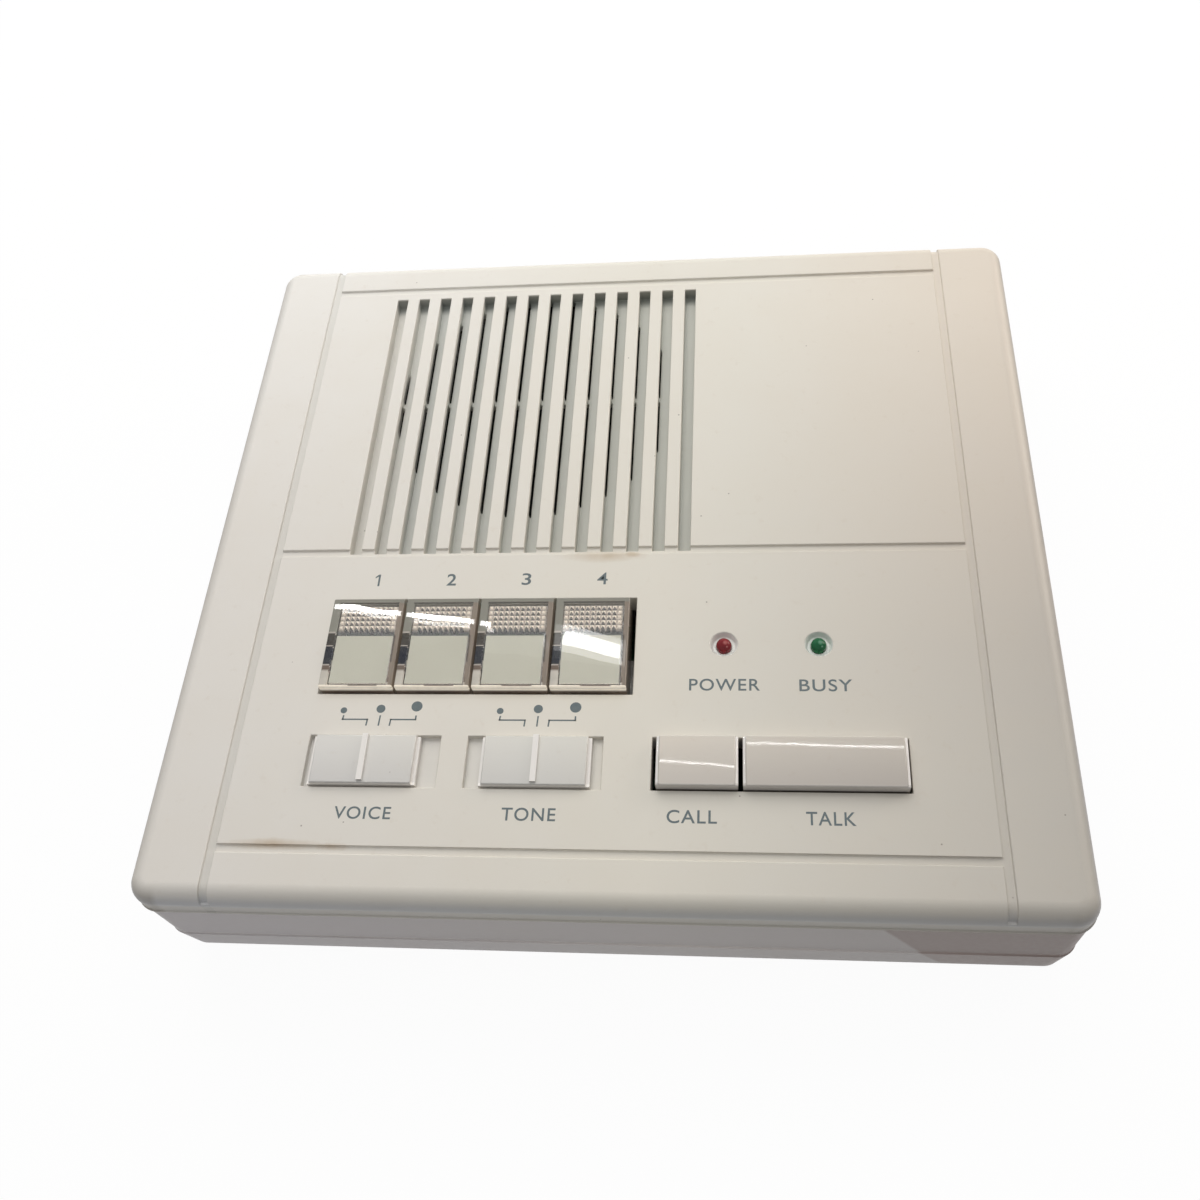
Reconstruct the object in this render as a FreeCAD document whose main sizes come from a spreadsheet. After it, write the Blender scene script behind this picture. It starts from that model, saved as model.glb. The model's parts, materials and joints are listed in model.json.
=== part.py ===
import FreeCAD, Part
import Sketcher
import os
import re

# Desk intercom master station. X runs to the right, Y to the back, Z up, in millimetres.
# The origin is the middle of the footprint, at the underside of the rubber feet.

doc = FreeCAD.newDocument("DeskIntercom")

sizes = {
    # case outline
    "case_width": 190.0,
    "case_depth": 176.0,
    "case_height": 36.5,
    "corner_radius": 5.0,
    "edge_rounding": 3.8,
    "cover_wall": 2.2,
    "hollow_relief": 0.6,
    "skirt_height": 7.5,
    "lip_bead": 0.3,
    "lip_gap": 0.3,
    "base_wall": 2.6,
    "base_floor": 2.2,
    "base_upright": 16.0,
    "base_corner": 4.0,
    "base_bead": 0.3,
    "base_taper": 4.5,
    "base_edge": 1.0,
    "tongue_height": 2.0,
    "tongue_wall": 1.2,
    "tongue_play": 0.1,
    "foot_height": 2.0,
    "foot_diameter": 13.0,
    "foot_recess": 0.6,
    "foot_draft": 1.2,
    "foot_inset_x": 21.0,
    "foot_inset_y": 22.0,
    # grooves that part the top into rails, strips and panels
    "rail_width": 15.7,
    "groove_width": 1.8,
    "groove_depth": 1.1,
    "groove_drop": 3.2,
    "back_strip": 9.3,
    "front_strip": 10.2,
    "control_panel": 69.5,
    # grille
    "slot_count": 14,
    "slot_pitch": 5.85,
    "slot_width": 2.75,
    "slot_depth": 3.0,
    "slot_inset": 16.2,
    "slot_margin": 2.2,
    "slit_width": 0.8,
    "slit_undercut": 0.6,
    "slit_height": 1.4,
    "cross_rib": 1.5,
    "grille_plate": 4.6,
    "grille_border": 3.0,
    "cone_opening": 70.0,
    # loudspeaker
    "speaker_diameter": 77.0,
    "speaker_back": 36.4,
    "speaker_depth": 24.7,
    "speaker_sheet": 1.0,
    "speaker_neck": 48.0,
    "gasket_width": 3.0,
    "gasket_height": 1.0,
    "basket_window": 22.0,
    "window_border": 2.0,
    "magnet_diameter": 45.0,
    "magnet_height": 7.0,
    "plate_diameter": 40.0,
    "plate_height": 2.0,
    "coil_diameter": 25.0,
    "coil_gap": 1.0,
    "coil_rise": 5.0,
    "cone_wall": 0.8,
    "cone_body": 1.0,
    "surround_width": 3.0,
    "surround_drop": 1.2,
    "cap_rise": 3.0,
    "cap_wall": 0.8,
    "clamp_offset": 30.1,
    "clamp_diameter": 12.0,
    "clamp_height": 1.0,
    "clamp_screw_length": 3.8,
    # station keys
    "key_pitch": 16.75,
    "key_width": 16.2,
    "key_length": 22.0,
    "key_rise": 2.5,
    "key_height": 9.0,
    "key_wall": 0.9,
    "key_top": 1.3,
    "key_travel": 3.5,
    "key_row": 34.4,
    "key_inset": 15.9,
    "well_left_gap": 0.6,
    "well_right_gap": 1.25,
    "well_front_gap": 0.4,
    "well_back_gap": 1.3,
    "well_guide": 1.5,
    "well_depth": 5.5,
    "lens_width": 13.0,
    "lens_length": 6.1,
    "lens_height": 1.6,
    "lens_back": 1.2,
    "slip_width": 12.6,
    "slip_length": 11.6,
    "slip_height": 0.25,
    "slip_front": 1.3,
    "slip_shift": 0.15,
    "holder_plate": 1.4,
    "stem_width": 5.0,
    "stem_play": 0.05,
    "stem_room": 2.0,
    "web_wall": 1.25,
    "web_rise": 1.0,
    "key_edge": 0.4,
    # call and talk keys
    "row_front": 12.6,
    "row_depth": 11.6,
    "call_inset": 89.1,
    "call_width": 16.5,
    "talk_width": 32.5,
    "pair_left_gap": 1.0,
    "pair_gap": 0.9,
    "pair_right_gap": 0.5,
    "pair_front_gap": 0.35,
    "pair_back_gap": 0.45,
    "button_rise": 2.4,
    "button_height": 8.4,
    "button_wall": 1.4,
    "button_travel": 2.0,
    "ledge_width": 0.6,
    "ledge_drop": 0.4,
    "button_edge": 0.25,
    # slides
    "voice_inset": 29.65,
    "tone_inset": 63.8,
    "recess_width": 28.35,
    "recess_depth": 1.4,
    "recess_floor": 2.0,
    "slide_travel": 2.0,
    "slide_offset": 0.5,
    "knob_width": 22.9,
    "knob_play": 0.4,
    "knob_float": 0.1,
    "knob_flange": 1.5,
    "knob_ledge": 0.7,
    "knob_rise": 1.3,
    "rib_width": 1.2,
    "rib_height": 0.7,
    "rib_setback": 0.9,
    "knob_edge": 0.3,
    "fork_wall": 1.8,
    "fork_depth": 4.0,
    "fork_play": 0.1,
    "lever_play": 0.3,
    "lever_width": 4.0,
    "lever_height": 6.0,
    "fork_clear": 1.0,
    # lamps
    "lamp_row": 46.0,
    "power_inset": 102.6,
    "busy_inset": 122.5,
    "lamp_mouth": 5.9,
    "lamp_throat": 4.8,
    "lamp_sink": 2.0,
    "lamp_boss": 8.0,
    "led_diameter": 3.0,
    "led_length": 5.3,
    "led_flange": 3.8,
    "led_flange_height": 1.0,
    "led_play": 0.1,
    "led_below_top": 0.2,
    "led_leg": 0.5,
    "led_leg_pitch": 2.54,
    "lamp_clear": 1.0,
    # circuit boards and what stands on them
    "board_thickness": 1.6,
    "board_level": 13.0,
    "control_board_width": 148.0,
    "control_board_depth": 62.0,
    "control_board_front": 2.0,
    "amplifier_level": 9.8,
    "amplifier_width": 54.0,
    "amplifier_depth": 76.0,
    "amplifier_right": 17.0,
    "amplifier_back": 6.0,
    "switch_height": 11.0,
    "switch_width": 13.0,
    "switch_depth": 12.0,
    "slide_switch_width": 20.0,
    "slide_switch_depth": 8.0,
    "slide_switch_height": 7.0,
    "frame_sheet": 0.8,
    "frame_hole_play": 0.5,
    "switch_floor": 1.0,
    "button_switch": 10.0,
    "core_width": 22.0,
    "core_depth": 11.0,
    "core_height": 17.0,
    "winding_width": 13.0,
    "winding_depth": 19.0,
    "winding_height": 14.0,
    "large_can": 10.0,
    "large_can_height": 17.0,
    "small_can": 8.0,
    "small_can_height": 12.0,
    "chip_width": 19.0,
    "chip_depth": 6.4,
    "chip_height": 3.6,
    "ribbon_width": 20.0,
    "ribbon_thickness": 0.6,
    "ribbon_inset": 4.0,
    "ribbon_offset": 20.0,
    "connector_depth": 3.0,
    "connector_height": 4.0,
    # screws and bosses
    "case_screw": 3.0,
    "case_screw_head": 6.0,
    "case_screw_length": 14.0,
    "board_screw": 2.6,
    "board_screw_head": 5.0,
    "board_screw_length": 8.0,
    "head_height": 1.8,
    "hidden_sides": 8,
    "turned_sides": 24,
    "seat_play": 0.5,
    "seat_wall": 1.6,
    "screw_play": 0.1,
    "loose_play": 0.2,
    "tip_room": 1.0,
    "boss_wall": 2.6,
    "case_boss_inset": 11.0,
    "case_boss_joint": 16.0,
    "screw_seat": 8.0,
    "board_boss_inset": 4.0,
    "socket_zone": 18.0,
    # overlap of pieces that are moulded as one, and overshoot of cutting tools
    "weld": 0.5,
    "margin": 1.0,
    # back sockets and underside
    "jack_width": 9.0,
    "jack_depth": 14.0,
    "jack_height": 11.0,
    "jack_bore": 5.5,
    "jack_pin": 2.0,
    "jack_bore_depth": 9.5,
    "jack_pin_setback": 1.0,
    "socket_play": 0.1,
    "jack_mouth": 8.0,
    "jack_inset": 24.5,
    "terminal_count": 6,
    "terminal_pitch": 5.08,
    "terminal_depth": 8.0,
    "terminal_height": 12.0,
    "terminal_rib": 1.0,
    "terminal_rib_depth": 1.4,
    "terminal_proud": 0.6,
    "terminal_screw": 2.6,
    "terminal_screw_length": 4.5,
    "terminal_head": 3.8,
    "terminal_head_height": 1.2,
    "terminal_inset": 52.0,
    "keyhole_inset": 35.0,
    "keyhole_back": 48.0,
    "keyhole_mouth": 8.0,
    "keyhole_slot": 4.2,
    "keyhole_run": 7.0,
    "vent_count": 9,
    "vent_pitch": 6.0,
    "vent_width": 2.2,
    "vent_length": 26.0,
}

# Places worked out from the driving sizes.
places = {
    "half_width": "case_width / 2",
    "half_depth": "case_depth / 2",
    "parting": "case_height - skirt_height",
    "ceiling": "case_height - cover_wall",
    "hollow_inset": "cover_wall + hollow_relief",
    "floor_top": "foot_height + base_floor",
    "base_break": "parting - base_upright",
    "base_half_width": "half_width - lip_gap",
    "base_half_depth": "half_depth - lip_gap",
    "panel_left": "rail_width + groove_width - half_width",
    "panel_right": "half_width - rail_width - groove_width",
    "groove_floor": "case_height - groove_depth",
    "speaker_panel_back": "half_depth - back_strip - groove_width",
    "control_panel_front": "front_strip + groove_width - half_depth",
    "control_panel_back": "control_panel_front + control_panel",
    "speaker_panel_front": "control_panel_back + groove_width",
    "grille_left": "panel_left + slot_inset",
    "grille_width": "(slot_count - 1) * slot_pitch + slot_width",
    "grille_underside": "case_height - grille_plate",
    "speaker_x": "grille_left + grille_width / 2",
    "speaker_y": "speaker_panel_back - speaker_back",
    "basket_top": "grille_underside - gasket_height - cone_wall",
    "speaker_bottom": "grille_underside - gasket_height - speaker_depth",
    "magnet_top": "speaker_bottom + magnet_height + 2 * plate_height",
    "key_left": "panel_left + key_inset",
    "key_front": "control_panel_front + key_row",
    "key_back": "key_front + key_length",
    "key_crown": "case_height + key_rise",
    "key_skirt": "key_crown - key_height",
    "key_ceiling": "key_crown - key_top",
    "slip_underside": "key_ceiling - slip_height",
    "stem_y": "key_front + slip_front + slip_length / 2",
    "switch_top": "board_level + switch_height",
    "lens_y": "key_back - lens_back - lens_length / 2",
    "row_low": "control_panel_front + row_front",
    "row_high": "row_low + row_depth",
    "call_left": "panel_left + call_inset",
    "talk_left": "call_left + call_width + pair_gap",
    "talk_right": "talk_left + talk_width",
    "button_front": "row_low + pair_front_gap",
    "button_back": "row_high - pair_back_gap",
    "button_y": "(button_front + button_back) / 2",
    "button_crown": "case_height + button_rise",
    "button_skirt": "button_crown - button_height",
    "recess_level": "case_height - recess_depth",
    "recess_y": "row_low + row_depth / 2",
    "knob_underside": "recess_level + knob_float",
    "knob_shoulder": "knob_underside + knob_flange",
    "knob_crown": "case_height + knob_rise",
    "slide_switch_top": "board_level + slide_switch_height",
    "lamp_y": "control_panel_front + lamp_row",
    "lamp_floor": "case_height - lamp_sink",
    "led_crown": "case_height - led_below_top",
    "led_underside": "led_crown - led_length",
    "control_board_y": "control_panel_front + control_board_front",
    "amplifier_x": "half_width - amplifier_right - amplifier_width",
    "amplifier_y": "half_depth - amplifier_back - amplifier_depth",
    "back_wall": "base_half_depth - base_wall",
    "above": "case_height + margin",
    "weld_level": "ceiling + weld",
    "clamp_seat": "basket_top - speaker_sheet",
    "connector_top": "board_level + connector_height",
    "terminal_face": "back_wall + terminal_proud",
    "jack_face": "back_wall - socket_play",
}

sheet = doc.addObject("Spreadsheet::Sheet", "Sizes")
for row, (alias, value) in enumerate(sizes.items(), start=1):
    sheet.set(f"A{row}", alias)
    sheet.set(f"B{row}", str(value))
    sheet.setAlias(f"B{row}", alias)
doc.recompute()


def formula(text):
    """Spell a formula in sheet cells, with every named place written out."""
    def swap(match):
        word = match.group(0)
        if word in sizes:
            return f"{sheet.Name}.{word}"
        if word in places:
            return f"({formula(places[word])})"
        return word
    return re.sub(r"[A-Za-z_]\w*", swap, str(text))


def measure(text):
    return float(sheet.evalExpression(formula(text)))


def bind(item, **texts):
    for name, text in texts.items():
        item.setExpression(name, formula(text))


def place(item, x, y, z):
    for axis, text in zip("xyz", (x, y, z)):
        item.setExpression(f"Placement.Base.{axis}", formula(text))


def around(centre, size):
    return f"({centre}) - ({size}) / 2", f"({centre}) + ({size}) / 2"


def between(span):
    return f"({span[1]}) - ({span[0]})"


def block(x, y, z):
    item = doc.addObject("Part::Box", "Block")
    bind(item, Length=between(x), Width=between(y), Height=between(z))
    place(item, x[0], y[0], z[0])
    return item


def rod(x, y, z, diameter):
    item = doc.addObject("Part::Cylinder", "Rod")
    bind(item, Radius=f"({diameter}) / 2", Height=between(z))
    place(item, x, y, z[0])
    return item


def prism(x, y, z, diameter, sides="hidden_sides"):
    # Stands for a rod where nothing can be seen, and is lighter to draw.
    item = doc.addObject("Part::Prism", "Prism")
    bind(item, Polygon=sides, Circumradius=f"({diameter}) / 2", Height=between(z))
    place(item, x, y, z[0])
    return item


def barrel(x, y, z, diameter):
    # A prism with enough sides to pass for round.
    return prism(x, y, z, diameter, "turned_sides")


def laid_along_y(form, x, y, z, diameter):
    item = form(x, y[0], y, diameter)
    item.Placement.Rotation = FreeCAD.Rotation(FreeCAD.Vector(1, 0, 0), -90)
    place(item, x, y[0], z)
    return item


def dome(x, y, z, diameter):
    item = doc.addObject("Part::Sphere", "Dome")
    item.Angle1 = 0
    bind(item, Radius=f"({diameter}) / 2")
    place(item, x, y, z)
    return item


def fuse(*items):
    item = doc.addObject("Part::MultiFuse", "Fusion")
    item.Shapes = list(items)
    item.Refine = True
    return item


def group(*items):
    item = doc.addObject("Part::Compound", "Group")
    item.Links = list(items)
    return item


def cut(base, *tools):
    item = doc.addObject("Part::Cut", "Cut")
    item.Base = base
    item.Tool = tools[0] if len(tools) == 1 else fuse(*tools)
    item.Refine = True
    return item


def common(first, second):
    item = doc.addObject("Part::Common", "Common")
    item.Base = first
    item.Tool = second
    return item


def four_corners(x, y, half_x, half_y):
    return [(f"({x}) + ({i}) * ({half_x})", f"({y}) + ({j}) * ({half_y})") for i in (-1, 1) for j in (-1, 1)]


class Moulding:
    """A PartDesign body, with short ways to sketch on it and to shape it."""

    def __init__(self, name):
        self.body = doc.addObject("PartDesign::Body", name)

    def origin(self, role):
        return next(item for item in self.body.Origin.OriginFeatures if item.Role == role)

    def sketch(self, plane="XY_Plane", offset="0"):
        item = self.body.newObject("Sketcher::SketchObject", "Sketch")
        item.AttachmentSupport = [(self.origin(plane), "")]
        item.MapMode = "FlatFace"
        item.setExpression("AttachmentOffset.Base.z", formula(offset))
        return item

    def pin(self, sketch, curve, point, x, y):
        for kind, text in (("DistanceX", x), ("DistanceY", y)):
            index = sketch.addConstraint(Sketcher.Constraint(kind, -1, 1, curve, point, measure(text)))
            sketch.setExpression(f"Constraints[{index}]", formula(text))

    def outline(self, points, plane="XY_Plane", offset="0"):
        item = self.sketch(plane, offset)
        spots = [FreeCAD.Vector(measure(x), measure(y), 0) for x, y in points]
        count = len(points)
        for index in range(count):
            item.addGeometry(Part.LineSegment(spots[index], spots[(index + 1) % count]))
        for index in range(count):
            item.addConstraint(Sketcher.Constraint("Coincident", index, 2, (index + 1) % count, 1))
            self.pin(item, index, 1, *points[index])
        return item

    def rectangle(self, x, y, offset="0"):
        return self.outline([(x[0], y[0]), (x[1], y[0]), (x[1], y[1]), (x[0], y[1])], offset=offset)

    def shape(self, kind, sketch, **texts):
        item = self.body.newObject(f"PartDesign::{kind}", kind)
        item.Profile = sketch
        bind(item, **texts)
        return item

    def pad(self, sketch, length, **texts):
        return self.shape("Pad", sketch, Length=length, **texts)

    def pad_down(self, sketch, length, **texts):
        item = self.pad(sketch, length, **texts)
        item.Reversed = True
        return item

    def pocket_up(self, sketch, length):
        item = self.shape("Pocket", sketch, Length=length)
        item.Reversed = True
        return item

    def row(self, feature, count, pitch):
        item = self.body.newObject("PartDesign::LinearPattern", "Row")
        item.Originals = [feature]
        item.Direction = (self.origin("X_Axis"), [""])
        bind(item, Occurrences=count, Length=f"({count} - 1) * ({pitch})")
        self.body.Tip = item
        return item

    def dress(self, kind, chosen, **texts):
        doc.recompute()
        base = self.body.Tip
        names = [f"Edge{index}" for index, edge in enumerate(base.Shape.Edges, start=1) if chosen(edge)]
        item = self.body.newObject(f"PartDesign::{kind}", kind)
        item.Base = (base, names)
        bind(item, **texts)
        return item

    def soften(self, chosen, radius):
        return self.dress("Fillet", chosen, Radius=radius)

    def bevel(self, chosen, size):
        return self.dress("Chamfer", chosen, Size=size)


def frustum(x, y, z, low_diameter, high_diameter):
    # A cone with flat sides: a prism with drafted sides.
    form = Moulding("Frustum")
    core = form.body.newObject("PartDesign::AdditivePrism", "Prism")
    bind(core, Polygon="turned_sides", Circumradius=f"({low_diameter}) / 2", Height=between(z))
    doc.recompute()
    faces = {f"Face{index}": face for index, face in enumerate(core.Shape.Faces, start=1)}
    sides = [name for name, face in faces.items() if face.BoundBox.ZLength > 0.1]
    foot = next(name for name, face in faces.items() if face.BoundBox.ZMax < 0.1)
    draft = form.body.newObject("PartDesign::Draft", "Draft")
    draft.Base = (core, sides)
    draft.NeutralPlane = (core, [foot])
    draft.Reversed = measure(high_diameter) > measure(low_diameter)
    spread = f"abs(({high_diameter}) - ({low_diameter})) / 2 * cos(180 / turned_sides)"
    bind(draft, Angle=f"atan({spread} / ({between(z)}))")
    place(form.body, x, y, z[0])
    return form.body


def upright(edge):
    box = edge.BoundBox
    return box.ZLength > max(box.XLength, box.YLength)


def level(text):
    height = measure(text)
    return lambda edge: abs(edge.BoundBox.ZMin - height) < 1e-4 and abs(edge.BoundBox.ZMax - height) < 1e-4


def upright_block(name, half_x, half_y, z, corner):
    form = Moulding(name)
    outline = form.rectangle((f"-({half_x})", half_x), (f"-({half_y})", half_y), z[0])
    form.pad(outline, between(z))
    form.soften(upright, corner)
    return form


def rounded_block(name, half_x, half_y, z, corner, edge_radius):
    form = upright_block(name, half_x, half_y, z, corner)
    form.soften(level(z[1]), edge_radius)
    return form.body


def inset_block(name, inset, z):
    # The case's plan drawn in by an even wall all round.
    half_x, half_y = f"half_width - ({inset})", f"half_depth - ({inset})"
    return upright_block(name, half_x, half_y, z, f"corner_radius - ({inset})").body


nodes = []


def publish(item, name):
    item.Label = name
    nodes.append(item)
    return item


case_screw_spots = four_corners("0", "0", "half_width - case_boss_inset", "half_depth - case_boss_inset")
clamp_spots = four_corners("speaker_x", "speaker_y", "clamp_offset", "clamp_offset")
control_screw_spots = four_corners(
    "0",
    "control_board_y + control_board_depth / 2",
    "control_board_width / 2 - board_boss_inset",
    "control_board_depth / 2 - board_boss_inset",
)
amplifier_screw_spots = four_corners(
    "amplifier_x + amplifier_width / 2",
    "amplifier_y + (amplifier_depth - socket_zone) / 2",
    "amplifier_width / 2 - board_boss_inset",
    "(amplifier_depth - socket_zone) / 2 - board_boss_inset",
)
foot_spots = four_corners("0", "0", "half_width - foot_inset_x", "half_depth - foot_inset_y")
key_spots = [f"key_left + key_width / 2 + {index} * key_pitch" for index in range(4)]
slides = {"voice": "panel_left + voice_inset", "tone": "panel_left + tone_inset"}
slide_rest = {"voice": "-slide_travel", "tone": "0"}
buttons = {
    "call": ("call_left", "call_left + call_width"),
    "talk": ("talk_left", "talk_right"),
}
lamps = {"power": "panel_left + power_inset", "busy": "panel_left + busy_inset"}
key_well_x = (
    "key_left - well_left_gap",
    "key_left + 3 * key_pitch + key_width + well_right_gap",
)
key_well_y = ("key_front - well_front_gap", "key_back + well_back_gap")
button_well_x = ("call_left - pair_left_gap", "talk_right + pair_right_gap")
button_well_y = ("row_low", "row_high")
terminal_x = around("half_width - terminal_inset", "terminal_count * terminal_pitch + terminal_rib")
jack_x = "half_width - jack_inset"
jack_z = "amplifier_level + jack_height / 2"
case_boss = "case_screw + 2 * boss_wall"
fork_width = "lever_width + 2 * fork_wall"
through_floor = ("foot_height - margin", "floor_top + margin")


def widened(span, extra):
    return f"({span[0]}) - ({extra})", f"({span[1]}) + ({extra})"


# ---- top cover -------------------------------------------------------------------------------

def groove_tool():
    # Bars along every groove, less a core one groove depth inside the skin, so that
    # the side grooves follow the rounding down to the lip.
    depth_span = ("-half_depth", "half_depth")
    drop = ("case_height - groove_drop", "above")
    left = block(("panel_left - groove_width", "panel_left"), depth_span, drop)
    right = block(("panel_right", "panel_right + groove_width"), depth_span, drop)
    across = ("panel_left", "panel_right")
    back = block(across, ("speaker_panel_back", "speaker_panel_back + groove_width"), drop)
    middle = block(across, ("control_panel_back", "speaker_panel_front"), drop)
    front = block(across, ("control_panel_front - groove_width", "control_panel_front"), drop)
    core = rounded_block(
        "GrooveCore", "half_width - groove_depth", "half_depth - groove_depth", ("parting", "groove_floor"),
        "corner_radius - groove_depth", "edge_rounding - groove_depth")
    return cut(fuse(left, right, back, middle, front), core)


def slot_row(name, left, width, z):
    form = Moulding(name)
    y = ("speaker_panel_front - groove_width / 2", "speaker_panel_back - slot_margin")
    first = form.rectangle((left, f"{left} + {width}"), y, z[0])
    form.row(form.pad(first, between(z)), "slot_count", "slot_pitch")
    return form.body


def grille_tools():
    # Fourteen slots from above, and from below a slit that runs under each bar and breaks
    # through at the foot of the slot's left wall. One rib crosses the slits in the middle.
    slots = slot_row("Slots", "grille_left", "slot_width", ("case_height - slot_depth", "above"))
    through = ("grille_underside - margin", "case_height - slot_depth + slit_height")
    comb = slot_row("Slits", "grille_left - slit_undercut", "slit_width", through)
    opening = barrel("speaker_x", "speaker_y", through, "cone_opening")
    rib = block(around("speaker_x", "cone_opening"), around("speaker_y", "cross_rib"), through)
    return slots, common(comb, cut(opening, rib))


def cover_pads():
    # What stands on the underside of the cover: grille plate, well guides, bosses.
    grille_x = widened(("grille_left", "grille_left + grille_width"), "grille_border")
    guide_z = ("case_height - well_depth", "weld_level")
    plate_z = ("grille_underside", "weld_level")
    pads = [
        block(grille_x, ("control_panel_back", "speaker_panel_back"), plate_z),
        barrel("speaker_x", "speaker_y", plate_z, "speaker_diameter + grille_border"),
        block(widened(key_well_x, "well_guide"), widened(key_well_y, "well_guide"), guide_z),
        block(widened(button_well_x, "well_guide"), widened(button_well_y, "well_guide"), guide_z),
    ]
    board_boss = "board_screw + 2 * cover_wall"
    pads += [prism(x, y, ("case_boss_joint", "weld_level"), case_boss) for x, y in case_screw_spots]
    pads += [prism(x, y, ("board_level", "weld_level"), board_boss) for x, y in control_screw_spots]
    pads += [prism(x, y, ("clamp_seat", "weld_level"), board_boss) for x, y in clamp_spots]
    recess_z = ("recess_level - recess_floor", "weld_level")
    pads += [block(around(centre, "recess_width"), button_well_y, recess_z) for centre in slides.values()]
    lamp_z = ("led_underside + led_flange_height + led_play", "weld_level")
    pads += [prism(centre, "lamp_y", lamp_z, "lamp_boss") for centre in lamps.values()]
    return pads


def cover_holes():
    holes = [
        block(key_well_x, key_well_y, ("board_level", "above")),
        block(button_well_x, button_well_y, ("board_level", "above")),
    ]
    for centre in slides.values():
        holes.append(block(around(centre, "recess_width"), button_well_y, ("recess_level", "above")))
        slot_x = around(f"{centre} + slide_offset", f"{fork_width} + 2 * slide_travel + 2 * knob_play")
        slot_y = around("recess_y", "fork_depth + 2 * knob_play")
        holes.append(block(slot_x, slot_y, ("parting", "above")))
    for centre in lamps.values():
        holes.append(frustum(centre, "lamp_y", ("lamp_floor", "case_height"), "lamp_throat", "lamp_mouth"))
        holes.append(barrel(centre, "lamp_y", ("parting", "above"), "led_diameter + 2 * led_play"))
    pilot = ("case_boss_joint - margin", "case_boss_joint + case_screw_length")
    holes += [prism(x, y, pilot, "case_screw + screw_play") for x, y in case_screw_spots]
    pilot = ("board_level - margin", "board_level + board_screw_length")
    holes += [prism(x, y, pilot, "board_screw + screw_play") for x, y in control_screw_spots]
    pilot = ("clamp_seat - margin", "clamp_seat - clamp_height + clamp_screw_length + screw_play")
    holes += [prism(x, y, pilot, "board_screw + screw_play") for x, y in clamp_spots]
    return holes


def cover_skin():
    # Upright walls with a rounded top edge, and a thin bead round their foot that slopes
    # back into the wall.
    wall = rounded_block(
        "CoverSkin", "half_width", "half_depth", ("parting", "case_height"), "corner_radius", "edge_rounding")
    bead = upright_block("CoverBead", "half_width + lip_bead", "half_depth + lip_bead",
                         ("parting", "parting + 3 * lip_bead"), "corner_radius + lip_bead")
    bead.bevel(level("parting + 3 * lip_bead"), "2 * lip_bead")
    return fuse(wall, bead.body)


def build_top_cover():
    skin = cover_skin()
    hollow = inset_block("CoverHollow", "hollow_inset", ("parting - margin", "ceiling"))
    shell = fuse(cut(skin, hollow), *cover_pads())
    publish(cut(shell, groove_tool(), *grille_tools(), *cover_holes()), "top_cover")


# ---- base shell ------------------------------------------------------------------------------

def base_skin():
    # Upright walls under the cover's lip. The band below them starts with a small step out
    # and leans in to the floor.
    upper = upright_block("BaseUpper", "base_half_width", "base_half_depth",
                          ("base_break - weld", "parting"), "base_corner")
    x = widened(("-base_half_width", "base_half_width"), "base_bead")
    y = widened(("-base_half_depth", "base_half_depth"), "base_bead")
    lower = Moulding("BaseLower")
    lower.pad_down(lower.rectangle(x, y, "base_break"), "base_break - foot_height", TaperAngle="-base_taper")
    lower.soften(upright, "base_corner + base_bead")
    lower.bevel(level("base_break"), "2 * base_bead")
    lower.bevel(level("foot_height"), "base_edge")
    return fuse(upper.body, lower.body)


def tongue_ring():
    # The thin rim that stands inside the cover's skirt and lines the two shells up.
    outer = "hollow_inset + tongue_play"
    inner = f"{outer} + tongue_wall"
    rim_z = ("parting - tongue_height", "parting + tongue_height")
    inside_z = ("parting - tongue_height - margin", "parting + tongue_height + margin")
    rim = inset_block("Rim", outer, rim_z)
    return cut(rim, inset_block("RimHollow", inner, inside_z))


def keyhole(x):
    y = "half_depth - keyhole_back"
    return [
        barrel(x, y, through_floor, "keyhole_mouth"),
        barrel(x, f"{y} + keyhole_run", through_floor, "keyhole_slot"),
        block(around(x, "keyhole_slot"), (y, f"{y} + keyhole_run"), through_floor),
    ]


def vent_row():
    form = Moulding("Vents")
    first_x = "-(vent_count - 1) * vent_pitch / 2"
    slot = form.rectangle(around(first_x, "vent_width"), around("-half_depth / 2", "vent_length"),
                          through_floor[0])
    form.row(form.pad(slot, between(through_floor)), "vent_count", "vent_pitch")
    return form.body


def build_base_shell():
    hollow = inset_block("BaseHollow", "lip_gap + base_wall", ("floor_top", "parting + margin"))
    weld_floor = "floor_top - weld"
    seat_tube = "case_screw_head + 2 * seat_play + 2 * seat_wall"
    post = "board_screw + 2 * cover_wall"
    added = [tongue_ring()]
    added += [prism(x, y, (weld_floor, "case_boss_joint"), seat_tube) for x, y in case_screw_spots]
    post_z = (weld_floor, "amplifier_level - board_thickness")
    added += [prism(x, y, post_z, post) for x, y in amplifier_screw_spots]
    shank_z = ("0", "case_boss_joint + margin")
    removed = [prism(x, y, shank_z, "case_screw + 2 * loose_play") for x, y in case_screw_spots]
    head_z = ("0", "screw_seat")
    removed += [barrel(x, y, head_z, "case_screw_head + 2 * seat_play") for x, y in case_screw_spots]
    pilot_z = ("floor_top", "amplifier_level")
    removed += [prism(x, y, pilot_z, "board_screw + screw_play") for x, y in amplifier_screw_spots]
    dimple_z = ("foot_height - margin", "foot_height + foot_recess")
    removed += [barrel(x, y, dimple_z, "foot_diameter + 2 * loose_play") for x, y in foot_spots]
    wall_y = ("back_wall - margin", "base_half_depth + margin")
    removed.append(block(terminal_x, wall_y, ("amplifier_level", "amplifier_level + terminal_height")))
    removed.append(laid_along_y(barrel, jack_x, wall_y, jack_z, "jack_mouth"))
    removed += keyhole("keyhole_inset - half_width")
    removed += keyhole("half_width - keyhole_inset")
    removed.append(vent_row())
    publish(cut(fuse(cut(base_skin(), hollow), *added), *removed), "base_shell")


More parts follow.
